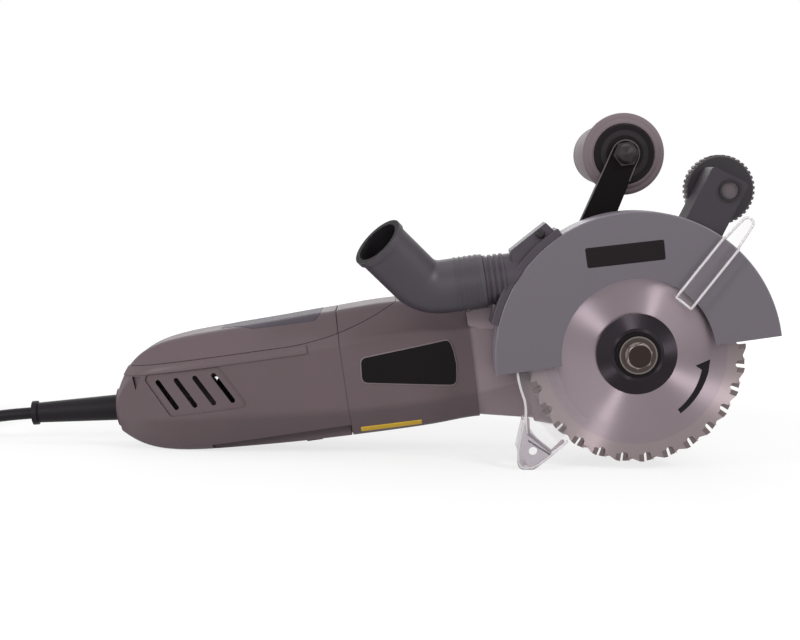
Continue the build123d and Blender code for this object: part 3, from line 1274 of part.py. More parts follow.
with BuildPart() as handle_bolt:
    add(rod(handle_axis(ARM_Y - HANDLE_NUT / 2), RECESS_Y - ARM_Y + HANDLE_NUT / 2, HANDLE_BOLT_R))
    with BuildSketch(handle_axis(RECESS_Y)):
        RegularPolygon(HANDLE_BOLT_HEAD_R, 6)
    extrude(amount=HANDLE_RECESS - 2)

with BuildPart() as handle_nut:
    with BuildSketch(handle_axis(ARM_Y)):
        RegularPolygon(HANDLE_NUT_HEX / 2, 6, major_radius=False)
    extrude(amount=-HANDLE_NUT / 2)
    dome_points = (
        (-HANDLE_NUT, 0), (-HANDLE_NUT / 2, 0), (-HANDLE_NUT / 2, HANDLE_NUT_HEX / 2 - 0.5),
        (-HANDLE_NUT * 0.8, HANDLE_NUT_HEX / 3),
    )
    add(turned(handle_axis(ARM_Y), dome_points))
    add(rod(handle_axis(ARM_Y - HANDLE_NUT / 2), HANDLE_NUT / 2, HANDLE_BOLT_R + FIT), mode=Mode.SUBTRACT)

# Lubricant stick feeder
FEED_SHAFT_AT = Plane(LUBE.from_local_coords(Vector(FEED_SHAFT_AT_R, FEED_SHAFT_SIDE, 0)), z_dir=(0, 1, 0))
with BuildPart() as lube_block:
    with BuildSketch(radial(FEED_ANGLE, FEED_FAR_Y)) as block_outline:
        with Locations((GUARD_R - FEED_ROOT, 0)):
            Rectangle(FEED_TOP_R - GUARD_R + FEED_ROOT, FEED_WIDTH, align=(Align.MIN, Align.CENTER))
        fillet(block_outline.vertices().group_by(Axis.X)[-1], FEED_CORNER)
        Circle(GUARD_R + FIT, mode=Mode.SUBTRACT)
    extrude(amount=FEED_FAR_Y - FEED_NEAR_Y)
    add(rod(FEED_SHAFT_AT.offset(FEED_NEAR_Y - FEED_RING), FEED_RING, FEED_RING_R))
    add(rod(FEED_SHAFT_AT.offset(FEED_NEAR_Y - FEED_RING), FEED_FAR_Y - FEED_NEAR_Y + FEED_RING,
            FEED_SHAFT_R + RUN), mode=Mode.SUBTRACT)
    add(stick_cut.part, mode=Mode.SUBTRACT)

with BuildPart() as feed_wheel:
    add(rod(FEED_SHAFT_AT.offset(FEED_NEAR_Y), WHEEL_Y - FEED_NEAR_Y, FEED_SHAFT_R))
    with BuildSketch(FEED_SHAFT_AT.offset(WHEEL_Y)):
        Circle(WHEEL_R)
        with PolarLocations(WHEEL_R, WHEEL_FLUTES):
            Rectangle(2 * WHEEL_FLUTE_DEPTH, WHEEL_FLUTE_WIDTH, mode=Mode.SUBTRACT)
    extrude(amount=WHEEL_THICK)

with BuildPart() as lube_stick:
    with BuildSketch(LUBE.offset(-STICK_SIDE / 2)):
        with Locations((STICK_TIP_R, STICK_OFFSET)):
            Rectangle(STICK_LENGTH, STICK_SIDE, align=(Align.MIN, Align.CENTER))
    extrude(amount=STICK_SIDE)

# Cord boot
rise = math.radians(BOOT_RISE)
BOOT_GRIP = (REAR_X + WALL - BOOT_X) / math.cos(rise) + BOOT_INNER_R * math.sin(rise) + FIT
with BuildPart() as cord_boot:
    neck_length = BOOT_GRIP + BOOT_INNER
    add(turned(BOOT, (
        (-neck_length, 0), (BOOT_LENGTH, 0), (BOOT_LENGTH, BOOT_RIM_R), (BOOT_LENGTH - BOOT_RIM, BOOT_RIM_R),
        (BOOT_LENGTH - BOOT_RIM, BOOT_END_R), (0, BOOT_ROOT_R), (0, BOOT_NECK_R), (-BOOT_GRIP, BOOT_NECK_R),
        (-BOOT_GRIP, BOOT_INNER_R), (-neck_length, BOOT_INNER_R),
    )))

SAW = {
    "handle_lower_shell": handle_lower_shell, "handle_top_cover": handle_top_cover,
    "motor_housing": motor_housing, "brush_carrier": brush_carrier, "gear_case": gear_case,
    "gear_case_cover": gear_case_cover, "housing_screws": housing_screws, "upper_guard": upper_guard,
    "guard_screws": guard_screws, "guard_retaining_ring": guard_retaining_ring, "dust_hood": dust_hood,
    "hood_screw": hood_screw, "dust_elbow": dust_elbow, "clear_guard": clear_guard, "handle_arm": handle_arm,
    "arm_bolts": arm_bolts, "handle_core": handle_core, "handle_grip": handle_grip, "handle_bolt": handle_bolt,
    "handle_nut": handle_nut, "lube_block": lube_block, "feed_wheel": feed_wheel, "lube_stick": lube_stick,
    "sleeve_bearing": sleeve_bearing, "spindle_bearing": spindle_bearing,
    "armature_front_bearing": armature_front_bearing, "armature_rear_bearing": armature_rear_bearing,
    "stator_core": stator_core, "field_coils": field_coils, "brush_holders": brush_holders,
    "carbon_brushes": carbon_brushes, "switch_body": switch_body, "paddle_switch": paddle_switch,
    "paddle_pin": paddle_pin, "paddle_spring": paddle_spring, "lock_off_slider": lock_off_slider,
    "cord_boot": cord_boot, "inner_spindle": inner_spindle, "far_bevel_gear": far_bevel_gear,
    "front_blade": front_blade, "front_blade_tips": front_blade_tips, "outer_flange": outer_flange,
    "blade_washer": blade_washer, "blade_bolt": blade_bolt, "outer_sleeve": outer_sleeve,
    "sleeve_bush": sleeve_bush, "near_bevel_gear": near_bevel_gear, "rear_blade": rear_blade,
    "rear_blade_tips": rear_blade_tips, "rear_blade_screws": rear_blade_screws,
    "armature_shaft": armature_shaft, "bevel_pinion": bevel_pinion, "armature_core": armature_core,
    "commutator": commutator, "fan": fan,
}

# Stance: the saw stands on its heel and guard foot, with the middle of its outline over the origin
tilted_boxes = [piece.part.moved(TILT).bounding_box() for piece in SAW.values()]
low_x = min(box.min.X for box in tilted_boxes)
high_x = max(box.max.X for box in tilted_boxes)
low_y = min(box.min.Y for box in tilted_boxes)
high_y = max(box.max.Y for box in tilted_boxes)
STAND = Location((-(low_x + high_x) / 2, -(low_y + high_y) / 2, HEEL_DROP)) * TILT

# Mains cord, in the standing frame
boot_end = BOOT.offset(BOOT_LENGTH)
EXIT = (STAND * Location(boot_end.origin)).position
EXIT_AHEAD = (STAND * Location(boot_end.origin + boot_end.z_dir)).position
EXIT_SLOPE = (EXIT_AHEAD.Z - EXIT.Z) / (EXIT.X - EXIT_AHEAD.X)
COIL_Z = CORD_R + TIE_THICK + 2 * CORD_FLOOR
cord_points = [(EXIT.X, EXIT.Z), (EXIT.X - CORD_STRAIGHT, EXIT.Z + CORD_STRAIGHT * EXIT_SLOPE)]
cord_points += [(EXIT.X - back, height) for back, height in CORD_ROUTE]
cord_points += [(EXIT.X - CORD_LANDING, COIL_Z), (EXIT.X - CORD_END, COIL_Z)]


def corner_radii(points):
    """Largest arcs that the runs on both sides of each corner leave room for."""
    radii = []
    for before, here, after in zip(points, points[1:], points[2:]):
        first = Vector(*here) - Vector(*before)
        second = Vector(*after) - Vector(*here)
        turn = math.radians(first.get_angle(second))
        radii.append(0.45 * min(first.length, second.length) / math.tan(turn / 2))
    return radii


with BuildPart() as mains_cord:
    with BuildLine(side(EXIT.Y)) as cord_line:
        FilletPolyline(*cord_points, radius=corner_radii(cord_points))
    with BuildSketch(Plane(cord_line.line @ 0, z_dir=cord_line.line % 0)):
        Circle(CORD_R)
    sweep()

COIL_OUTER_R = COIL_INNER_R + COIL_TURNS_IN * TURN_STEP
COIL_CENTRE = Vector(EXIT.X - CORD_END - COIL_LEAD, EXIT.Y + COIL_OUTER_R)
COIL_TOP_Z = COIL_Z + LAYER_STEP
CLIMB = 0.5


def coil_point(turns):
    """Point of the coil's centre line: in along the floor, up half a turn, then out on top."""
    radius = COIL_OUTER_R - TURN_STEP * turns
    height = COIL_Z
    past = turns - COIL_TURNS_IN
    if past > 0:
        share = min(past / CLIMB, 1.0)
        radius = COIL_INNER_R - TURN_STEP / 2 * share * (1 - share)
        height = COIL_Z + LAYER_STEP * (1 - math.cos(math.pi * share)) / 2
    if past > CLIMB:
        radius = COIL_INNER_R + TURN_STEP * (past - CLIMB)
    turn = 2 * math.pi * turns
    return Vector(COIL_CENTRE.X - radius * math.sin(turn), COIL_CENTRE.Y - radius * math.cos(turn), height)


def coil_heading(turns):
    step = 1e-4
    return (coil_point(turns + step) - coil_point(turns - step)).normalized()


def biarc_joint(start, start_way, end, end_way):
    """Meeting point of the two arcs that join two points along two headings."""
    chord = end - start
    lean_in = chord.dot(start_way + end_way)
    spread = 2 * (1 - start_way.dot(end_way))
    reach = (-lean_in + math.sqrt(lean_in ** 2 + spread * chord.dot(chord))) / spread
    return (start + end + (start_way - end_way) * reach) / 2


COIL_TURNS = COIL_TURNS_IN + CLIMB + COIL_TURNS_OUT
coil_ends = [i / COIL_STEPS for i in range(round(COIL_TURNS * COIL_STEPS) + 1)]
coil_start = coil_point(0)
coil_end = coil_point(COIL_TURNS)
TAIL_END = Vector(coil_end.X - COIL_TAIL, coil_end.Y, coil_end.Z)

with BuildPart() as cord_coil:
    with BuildLine() as coil_line:
        Line((EXIT.X - CORD_END, EXIT.Y, COIL_Z), coil_start)
        way = Vector(-1, 0, 0)
        for first, last in zip(coil_ends, coil_ends[1:]):
            ahead = Vector(-1, 0, 0) if last == COIL_TURNS else coil_heading(last)
            joint = biarc_joint(coil_point(first), way, coil_point(last), ahead)
            arc = TangentArc(coil_point(first), joint, tangent=way)
            TangentArc(joint, coil_point(last), tangent=arc % 1)
            way = ahead
        Line(coil_end, TAIL_END)
    with BuildSketch(Plane(coil_line.line @ 0, z_dir=coil_line.line % 0)):
        Circle(CORD_R)
    sweep()

cord_wire = cord_line.wires()[0]
coil_wire = coil_line.wires()[0]
cord_length = cord_wire.length + coil_wire.length
spacing = coil_wire.length / COIL_SAMPLES
coil_samples = [coil_wire @ (i / COIL_SAMPLES) for i in range(COIL_SAMPLES + 1)]
beyond = round(4 * CORD_R / spacing)
coil_gap = min(
    (there - here).length for i, here in enumerate(coil_samples) for there in coil_samples[i + beyond:]
) - 2 * CORD_R
section_area = math.pi * CORD_R ** 2
free_share = mains_cord.part.volume / section_area / cord_wire.length
coil_share = cord_coil.part.volume / section_area / coil_wire.length
print(f"coil's least gap to itself {coil_gap:.2f} mm; cord {cord_length:.0f} mm, of which coil {coil_wire.length:.0f} mm")
print(f"tube volume over section times length: free stretch {free_share:.4f}, coil {coil_share:.4f}")

tie_turn = math.radians(TIE_ANGLE)
TIE = Plane(
    (COIL_CENTRE.X, COIL_CENTRE.Y, 0), x_dir=(-math.sin(tie_turn), -math.cos(tie_turn), 0),
    z_dir=(-math.cos(tie_turn), math.sin(tie_turn), 0)
)
with BuildPart() as coil_tie:
    tie_inside = COIL_INNER_R - TURN_STEP / 4 - CORD_R - CORD_FLOOR
    tie_outside = COIL_OUTER_R + CORD_R + CORD_FLOOR
    tie_top = COIL_TOP_Z + CORD_R + CORD_FLOOR
    tie_bottom = CORD_FLOOR + TIE_THICK
    with BuildSketch(TIE.offset(-TIE_WIDTH / 2)):
        with Locations(((tie_inside + tie_outside) / 2, (tie_top + tie_bottom) / 2)):
            RectangleRounded(
                tie_outside - tie_inside + 2 * TIE_THICK, tie_top - tie_bottom + 2 * TIE_THICK, CORD_R + TIE_THICK
            )
            RectangleRounded(tie_outside - tie_inside, tie_top - tie_bottom, CORD_R, mode=Mode.SUBTRACT)
    extrude(amount=TIE_WIDTH)

PLUG_R = COIL_TOP_Z - CORD_FLOOR
PLUG = Plane(TAIL_END, x_dir=(0, 1, 0), z_dir=(-1, 0, 0))
with BuildPart() as plug_body:
    add(turned(PLUG, ((0, 0), (PLUG_NECK, 0), (PLUG_NECK, PLUG_NECK_R + PLUG_FLARE), (0, PLUG_NECK_R))))
    with BuildSketch(PLUG.offset(PLUG_NECK)):
        SlotOverall(2 * PLUG_HALF_WIDTH, 2 * PLUG_R)
    extrude(amount=PLUG_BODY)
    fillet(plug_body.faces().sort_by(Axis.X)[0].edges(), PLUG_CORNER)

with BuildPart() as plug_pins:
    for way in (-1, 1):
        pin_origin = PLUG.offset(PLUG_NECK + PLUG_BODY).from_local_coords(Vector(way * PLUG_PIN_STEP / 2, 0, 0))
        pin_plane = Plane(pin_origin, z_dir=PLUG.z_dir)
        add(turned(pin_plane, (
            (0, 0), (PLUG_PIN_LENGTH, 0), (PLUG_PIN_LENGTH, PLUG_PIN_R - 1), (PLUG_PIN_LENGTH - 1, PLUG_PIN_R),
            (0, PLUG_PIN_R),
        )))

CORD = {
    "mains_cord": mains_cord, "cord_coil": cord_coil, "coil_tie": coil_tie,
    "plug_body": plug_body, "plug_pins": plug_pins,
}

os.makedirs("parts", exist_ok=True)
placed = {name: piece.part.moved(STAND) for name, piece in SAW.items()}
placed.update({name: piece.part for name, piece in CORD.items()})
for name, solid in placed.items():
    solid.label = name
    export_step(solid, f"parts/{name}.step")
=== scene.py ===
import json
import math

import bmesh
import bpy
from mathutils import Matrix, Vector
from mathutils.bvhtree import BVHTree


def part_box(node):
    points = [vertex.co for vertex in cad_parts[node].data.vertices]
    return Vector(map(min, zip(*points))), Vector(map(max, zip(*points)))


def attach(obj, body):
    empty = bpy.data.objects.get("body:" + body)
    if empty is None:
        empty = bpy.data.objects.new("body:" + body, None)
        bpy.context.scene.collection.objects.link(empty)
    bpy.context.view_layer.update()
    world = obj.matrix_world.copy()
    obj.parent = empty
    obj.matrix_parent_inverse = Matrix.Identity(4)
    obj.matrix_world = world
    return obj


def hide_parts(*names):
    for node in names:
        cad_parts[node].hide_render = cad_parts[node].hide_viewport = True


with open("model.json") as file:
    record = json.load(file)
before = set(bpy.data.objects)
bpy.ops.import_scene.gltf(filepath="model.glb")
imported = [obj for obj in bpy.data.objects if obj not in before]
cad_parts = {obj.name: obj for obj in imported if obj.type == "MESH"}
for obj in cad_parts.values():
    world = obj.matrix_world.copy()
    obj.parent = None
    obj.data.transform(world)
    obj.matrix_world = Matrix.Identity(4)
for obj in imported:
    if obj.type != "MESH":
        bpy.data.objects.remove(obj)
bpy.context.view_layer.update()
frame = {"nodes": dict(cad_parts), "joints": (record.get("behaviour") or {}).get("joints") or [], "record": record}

# Tool frame of the CAD model: blade centre, forwards along the motor axis, away from the blade side, up
JOINTS = {joint["name"]: joint for joint in frame["joints"]}
MOUNTS = {mount["name"]: mount for mount in frame["record"]["mounts"]}
BLADE = Vector(JOINTS["front_blade_spin"]["pos_m"])
FEED_SHAFT = Vector(JOINTS["feed_turn"]["pos_m"])
FORWARD = Vector(JOINTS["rotor_spin"]["axis"])
AWAY = Vector((0, 1, 0))
UP = FORWARD.cross(AWAY)
MM = 0.001

# Motor axis, and how far out a ray starts that is cast at a node, in millimetres of the tool frame
MOTOR_Y = 44.0
MOTOR_Z = 5.0
BEYOND = 200.0

# Camera, measured in the photograph: millimetres from the blade, degrees and pixels
VIEW_DISTANCE = 900.0
VIEW_LEFT = 136.6
VIEW_ABOVE = 103.5
VIEW_PITCH = 5.56
VIEW_ROLL = 1.3
FOCAL_PIXELS = 1591.0
IMAGE_WIDTH = 800
SENSOR_MM = 36.0
CLIP_FROM_M = 0.05

# Light: strength of the surroundings as seen, and as they light the object
SEEN_WHITE = 1.0
SOFT_LIGHT = 0.45

# Floor, in metres; share of white that it glows with near and far off, and its white as seen and as it lights
FLOOR_HALF = 8.0
FLOOR_DROP = 0.0002
FLOOR_GLOW = 0.74
FLOOR_GLOW_FAR = 0.92
FLOOR_NEAR = 0.30
FLOOR_FAR = 0.75
FLOOR_SEEN = 0.26
FLOOR_BOUNCE = 0.7

# Lamps: name, place in metres, width and height in metres, watts; and the place they are turned to
LAMPS = (
    ("key", (-1.02, -0.80, 0.40), (0.24, 0.24), 7.6),
    ("fill", (0.78, -0.62, 0.72), (0.24, 0.24), 5.0),
    ("front", (-0.20, -1.30, 0.45), (1.00, 0.70), 2.5),
    ("top", (0.00, 0.10, 1.30), (1.20, 0.80), 3.2),
    ("back", (-0.20, 1.20, 0.70), (1.20, 0.80), 4.5),
)
LIT_MIDDLE = (0.05, 0.0, 0.08)

# Colours of plastic, paint and rubber
TAUPE = (0.106, 0.076, 0.084)
CASE_GREY = (0.275, 0.214, 0.233)
GUARD_GREY = (0.111, 0.095, 0.114)
# Painted highlight: share by which the guard's outer rim is paler
GUARD_RIM_HIGHLIGHT = 1.55
CHARCOAL = (0.030, 0.023, 0.031)
ELBOW_GREY = (0.036, 0.029, 0.039)
# Painted shade: near black for the elbow's bore and for the ring round the feed shaft
BORE_SHADE = (0.006, 0.0045, 0.006)
WHEEL_GREY = (0.018, 0.014, 0.018)
# Painted highlight on the wheel's knurls
WHEEL_KNURL_HIGHLIGHT = (0.075, 0.062, 0.068)
SHAFT_GREY = (0.085, 0.068, 0.075)
BLOCK_GREY = (0.024, 0.0185, 0.025)
GRIP_GREY = (0.148, 0.114, 0.124)
BLACK = (0.006, 0.004, 0.005)
CORE_RING_PALE = (0.022, 0.018, 0.021)
# Painted highlight along the edge of the handle's arm
ARM_EDGE_HIGHLIGHT = (0.080, 0.070, 0.075)
SHEATH = (0.009, 0.007, 0.009)
CLEAR_TINT = (0.64, 0.59, 0.62)
# Painted highlight along the clear guard's edges
CLEAR_EDGE_HIGHLIGHT = (0.86, 0.82, 0.84)
FOOT_TINT = (0.46, 0.41, 0.45)
WINDOW_GREY = (0.36, 0.31, 0.34)
FOLD_GREY = (0.11, 0.09, 0.10)
# Painted highlight on the bevelled border of the nameplate
PLATE_EDGE_HIGHLIGHT = (0.145, 0.115, 0.125)
FILM_GREY = (0.076, 0.064, 0.080)
FILM_YELLOW = (0.60, 0.38, 0.030)
CARBON = (0.02, 0.02, 0.02)
WAX = (0.62, 0.60, 0.52)

# Colours of metal
PLATE_BRIGHT = (0.330, 0.270, 0.297)
PLATE_RIM = (0.365, 0.300, 0.312)
CARBIDE = (0.15, 0.12, 0.12)
FLANGE_BLACK = (0.034, 0.028, 0.033)
BRONZED = (0.034, 0.025, 0.022)
# Painted highlights on the bolt's chamfer and on its collar's rim
BOLT_EDGE_HIGHLIGHT = (0.27, 0.235, 0.22)
BOLT_COLLAR = (0.060, 0.048, 0.044)
BOLT_RIM_HIGHLIGHT = (0.17, 0.148, 0.138)
STEEL = (0.56, 0.55, 0.54)
BEARING_STEEL = (0.66, 0.65, 0.64)
LAMINATION = (0.10, 0.10, 0.11)
COPPER = (0.72, 0.36, 0.20)
BRASS = (0.72, 0.55, 0.28)
PIN_PLATING = (0.74, 0.72, 0.68)

# Noise in the materials: features a metre and levels of detail
PLASTIC_CLOUD = (38.0, 4.0)
PLASTIC_PATCHES = (60.0, 5.0)
PLASTIC_GRAIN = (1400.0, 2.0)
GRIP_GRAIN = (1800.0, 2.0)
BOOT_GRAIN = (1200.0, 2.0)
SHEATH_GRAIN = (1600.0, 2.0)
PAINT_CLOUD = (20.0, 3.0)
PAINT_PATCHES = (90.0, 4.0)
PAINT_PEEL = (420.0, 2.0)
STEEL_PATCHES = (260.0, 6.0)
STEEL_SCRATCHES = (1500.0, 2.0)
BOLT_GRAIN = (900.0, 4.0)
CLEAR_SCUFFS = (120.0, 6.0)
EDGE_SCUFFS = (200.0, 4.0)
FILM_CLOUD = (70.0, 3.0)
FILM_SCRATCHES = (900.0, 5.0)
FILM_WAVES = (300.0, 2.0)
BLADE_RINGS = 5200.0
FLANGE_RINGS = 9000.0
RING_DETAIL = 4.0

# Depth of the relief, in metres
PLASTIC_RELIEF = 0.00008
PAINT_RELIEF = 0.00006
TURNED_RELIEF = 0.00004
FINE_RELIEF = 0.00003

# Clear plastic: bending of light, share let through, and how far the wall and the foot hide what is behind
CLEAR_IOR = 1.46
CLEAR_THROUGH = 0.7
EDGE_THROUGH = 0.45
WALL_HIDES = 0.13
FOOT_HIDES = 0.8

# Where a colour changes, in metres: radii round the axis of each piece, and widths of the change
EDGE_BLEND = 0.0003
BLADE_RIM_FROM_R = 0.0515
BLADE_RIM_TO_R = 0.0522
GUARD_RIM_FROM_R = 0.0800
GUARD_RIM_TO_R = 0.0809
BOLT_TOP_R = 0.0063
BOLT_SIDE_R = 0.0073
BOLT_RIM_R = 0.0097
KNURL_R = 0.0184
SHAFT_R = 0.0048
SHAFT_RING_R = 0.0059
PALE_RING_FROM_R = 0.0105
PALE_RING_TO_R = 0.0135
FOOT_TOP = 0.030
FOOT_FROM_R = 0.0732
CLEAR_BLEND = 0.0012

# Mouth of the dust elbow, in metres
DUST_PORT = MOUNTS["dust_port"]
PORT_PLACE = Vector(DUST_PORT["pos_m"])
PORT_AXIS = Vector(DUST_PORT["axis"])
PORT_R = DUST_PORT["dims"]["r_mm"] * MM
PORT_LENGTH = DUST_PORT["dims"]["length_mm"] * MM
BORE_MARGIN = 0.0003
MOUTH_DARK = 0.0022
MOUTH_FACE = 0.0004

# Blank plates, in millimetres of the tool frame: corners as x and z, for the top plate as x and y
PLATE_STEP = 2.0
PLATE_SINK = 0.15
PLATE_BEVEL = 0.3
PLATE_BORDER = 0.6
NAMEPLATE_BORDER = 0.5
RIM_ROWS = 3
CORNER_STEPS = 5
CORNER_SHARE = 0.45
NAMEPLATE = ((-157.8, 3.0), (-156.6, 18.2), (-103.6, 22.0), (-101.7, 14.6), (-101.1, 6.4), (-102.7, -6.3))
GUARD_PLATE = ((-22.4, 64.1), (-22.3, 52.8), (21.5, 51.7), (21.9, 62.9))
TOP_PLATE = (
    (-236.0, 33.5), (-217.0, 23.0), (-179.5, 21.5), (-176.0, 25.0), (-176.0, 63.0), (-179.5, 66.5),
    (-217.0, 65.0), (-236.0, 54.5),
)
STRIP = ((-162.0, -23.4), (-161.9, -26.4), (-126.2, -26.8), (-126.0, -24.0))

# Arrow on the blade: degrees of tail and neck, radii there in millimetres, radius and degrees of tip and barb
ARROW_TAIL = 299.0
ARROW_NECK = 338.0
ARROW_INNER = (40.2, 38.6)
ARROW_OUTER = (43.0, 42.6)
ARROW_TIP = (42.3, 347.5)
ARROW_BARB = (34.6, 340.4)
ARROW_STEPS = 14
PRINT_THICK = 0.06

# Beads along the clear guard's edges, the pale ones painted highlights, in millimetres of the tool frame: points
# as x and z
BEAD_R = 0.75
BEAD_SIDES = 8
EDGE_Y = -10.0
EDGE_R = 68.7
EDGE_ANGLES = range(176, 191, 2)
EDGE_RIM = ((-66.7, -16.6), (-66.7, -21.0), (-67.3, -25.6), (-67.8, -30.6), (-67.7, -35.6))
EDGE_FOOT = (
    (-67.9, -26.6), (-69.1, -30.2), (-71.5, -37.2), (-74.0, -44.3), (-74.9, -51.2), (-74.0, -54.0),
    (-71.6, -55.2), (-67.8, -55.4), (-63.8, -54.2), (-54.8, -48.9), (-46.0, -43.0),
)
WINDOW_EDGE = ((-66.4, -27.5), (-67.1, -35.9), (-55.8, -47.6), (-48.3, -42.7))
WINDOW_R = 1.0
FOOT_FOLD = ((-67.6, -39.8), (-61.9, -44.8), (-56.4, -49.4))
FOLD_R = 0.5

# Lever of the clear guard: degrees from the motor axis, millimetres along it and aside from its middle
LEVER_ANGLE = 44.0
LEVER_Y = -18.7
LEVER_FROM_R = 38.2
LEVER_TO_R = 80.5
LEVER_HALF = 5.3
LEVER_STEPS = 6
TAB_LOOP = (
    (80.5, 4.6), (89.0, 3.9), (95.5, 3.1), (97.2, 1.9), (97.6, 0.0), (97.2, -1.9), (95.5, -3.1), (89.0, -3.9),
    (80.5, -4.6),
)

# Painted highlight along the edge of the handle's arm, in millimetres of the tool frame: x, z and radius of its
# round ends
ARM_FOOT = (-47.1, 14.7, 10.5)
ARM_EYE = (10.8, 112.6, 8.0)
ARM_EDGE_R = 0.4
ARM_EDGE_FROM = 0.6
ARM_EDGE_BACK = 0.12
ARM_SIDE_STEPS = 4
ARM_TURNS = 12

# Ridge on the gear case's lug, in millimetres of the tool frame
LUG_CAP = ((-91.6, 35.2), (-91.6, 37.0), (-89.4, 38.3), (-73.0, 38.3), (-70.6, 36.6), (-69.8, 35.2))
LUG_NEAR = 14.9
LUG_FAR = 26.0
LUG_EDGE = 0.7
LUG_EDGE_STEPS = 3

# Recesses at the handle's rear corners, in millimetres of the tool frame
NOTCH = ((-291.0, 24.4), (-284.0, 24.0), (-289.8, 15.4))
NOTCH_SPREAD = 1.3
NOTCH_SINK = 0.8
NOTCH_THICK = 0.6

# Lip in the joint between the handle and the motor housing, in millimetres of the tool frame and degrees
JOINT_X = -167.0
JOINT_HALF = 0.14
JOINT_LOOK_X = -166.3
JOINT_SINK = 0.3
JOINT_DEPTH = 2.0
JOINT_TOP = 28.5
JOINT_ANGLES = range(130, 411, 3)
JOINT_SECTION = (
    (-JOINT_HALF, JOINT_SINK), (JOINT_HALF, JOINT_SINK),
    (JOINT_HALF, JOINT_DEPTH), (-JOINT_HALF, JOINT_DEPTH),
)

# Cord, in millimetres: the route of the CAD model
CORD_R = 3.5
CORD_STRAIGHT = 16.0
CORD_ROUTE = ((36.0, 12.2), (56.0, 7.8))
CORD_LANDING = 76.0
CORD_END = 92.0
COIL_LEAD = 7.0
COIL_Z = 4.7
LAYER_STEP = 7.6
TURN_STEP = 7.6
COIL_INNER_R = 29.0
COIL_TURNS_IN = 3.5
COIL_CLIMB = 0.5
COIL_TURNS_OUT = 3.0
COIL_TAIL = 54.0
COIL_POINTS_A_TURN = 16

# Smoothness of the cord's curve
CORD_SIDES = 5
CORD_ORDER = 3
CORD_STEPS = 6


def tool(x, y, z):
    """Point of the tool frame, in millimetres, as a point of the row frame in metres."""
    return BLADE + (FORWARD * x + AWAY * y + UP * z) * MM


# The boot's free end: its axis rises a little from the handle, in the tool frame
BOOT_TIP = (-356.17, MOTOR_Y, 8.4)
BOOT_RISE = math.radians(4.1)
EXIT = tool(*BOOT_TIP)
EXIT_WAY = -FORWARD * math.cos(BOOT_RISE) + UP * math.sin(BOOT_RISE)


def evenly(first, last, steps):
    """Values at even steps from the first to the last."""
    return [first + (last - first) * k / steps for k in range(steps + 1)]


def scaled(color, share):
    return tuple(channel * share for channel in color)


def grey_of(share):
    return share, share, share, 1


# Shader nodes
class Shading:
    """Nodes of a world or a material, with short ways to add and join them."""

    def __init__(self, tree):
        self.tree = tree

    def fill(self, socket, value):
        """Constant for an input, or an output that is joined to it."""
        if isinstance(value, bpy.types.NodeSocket):
            self.tree.links.new(value, socket)
        else:
            socket.default_value = value

    def node(self, kind, **settings):
        """New node with its properties and its inputs by name."""
        made = self.tree.nodes.new(kind)
        for key, value in settings.items():
            if key in made.inputs:
                self.fill(made.inputs[key], value)
            else:
                setattr(made, key, value)
        return made

    def join(self, kind, *values, **settings):
        """New node with its inputs in their order."""
        made = self.node(kind, **settings)
        for socket, value in zip(made.inputs, values):
            self.fill(socket, value)
        return made

    def math(self, operation, *values):
        return self.join("ShaderNodeMath", *values, operation=operation).outputs["Value"]

    def vector(self, operation, *values):
        return self.join("ShaderNodeVectorMath", *values, operation=operation).outputs["Vector"]

    def measure(self, operation, *values):
        """Number got from vectors: a length or a dot product."""
        return self.join("ShaderNodeVectorMath", *values, operation=operation).outputs["Value"]

    def ramp(self, value, start=0.0, end=1.0, low=0.0, high=1.0):
        """Value carried from one range to another, and held at its ends."""
        made = self.node("ShaderNodeMapRange", Value=value)
        for key, limit in (("From Min", start), ("From Max", end), ("To Min", low), ("To Max", high)):
            made.inputs[key].default_value = limit
        return made.outputs["Result"]

    def place(self):
        return self.node("ShaderNodeTexCoord").outputs["Object"]

    def seen_directly(self):
        """One for rays of the camera, of gloss and through clear plastic, nought for rays that light."""
        path = self.node("ShaderNodeLightPath").outputs
        glossy = self.math("MAXIMUM", path["Is Camera Ray"], path["Is Glossy Ray"])
        return self.math("MAXIMUM", glossy, path["Is Transmission Ray"])


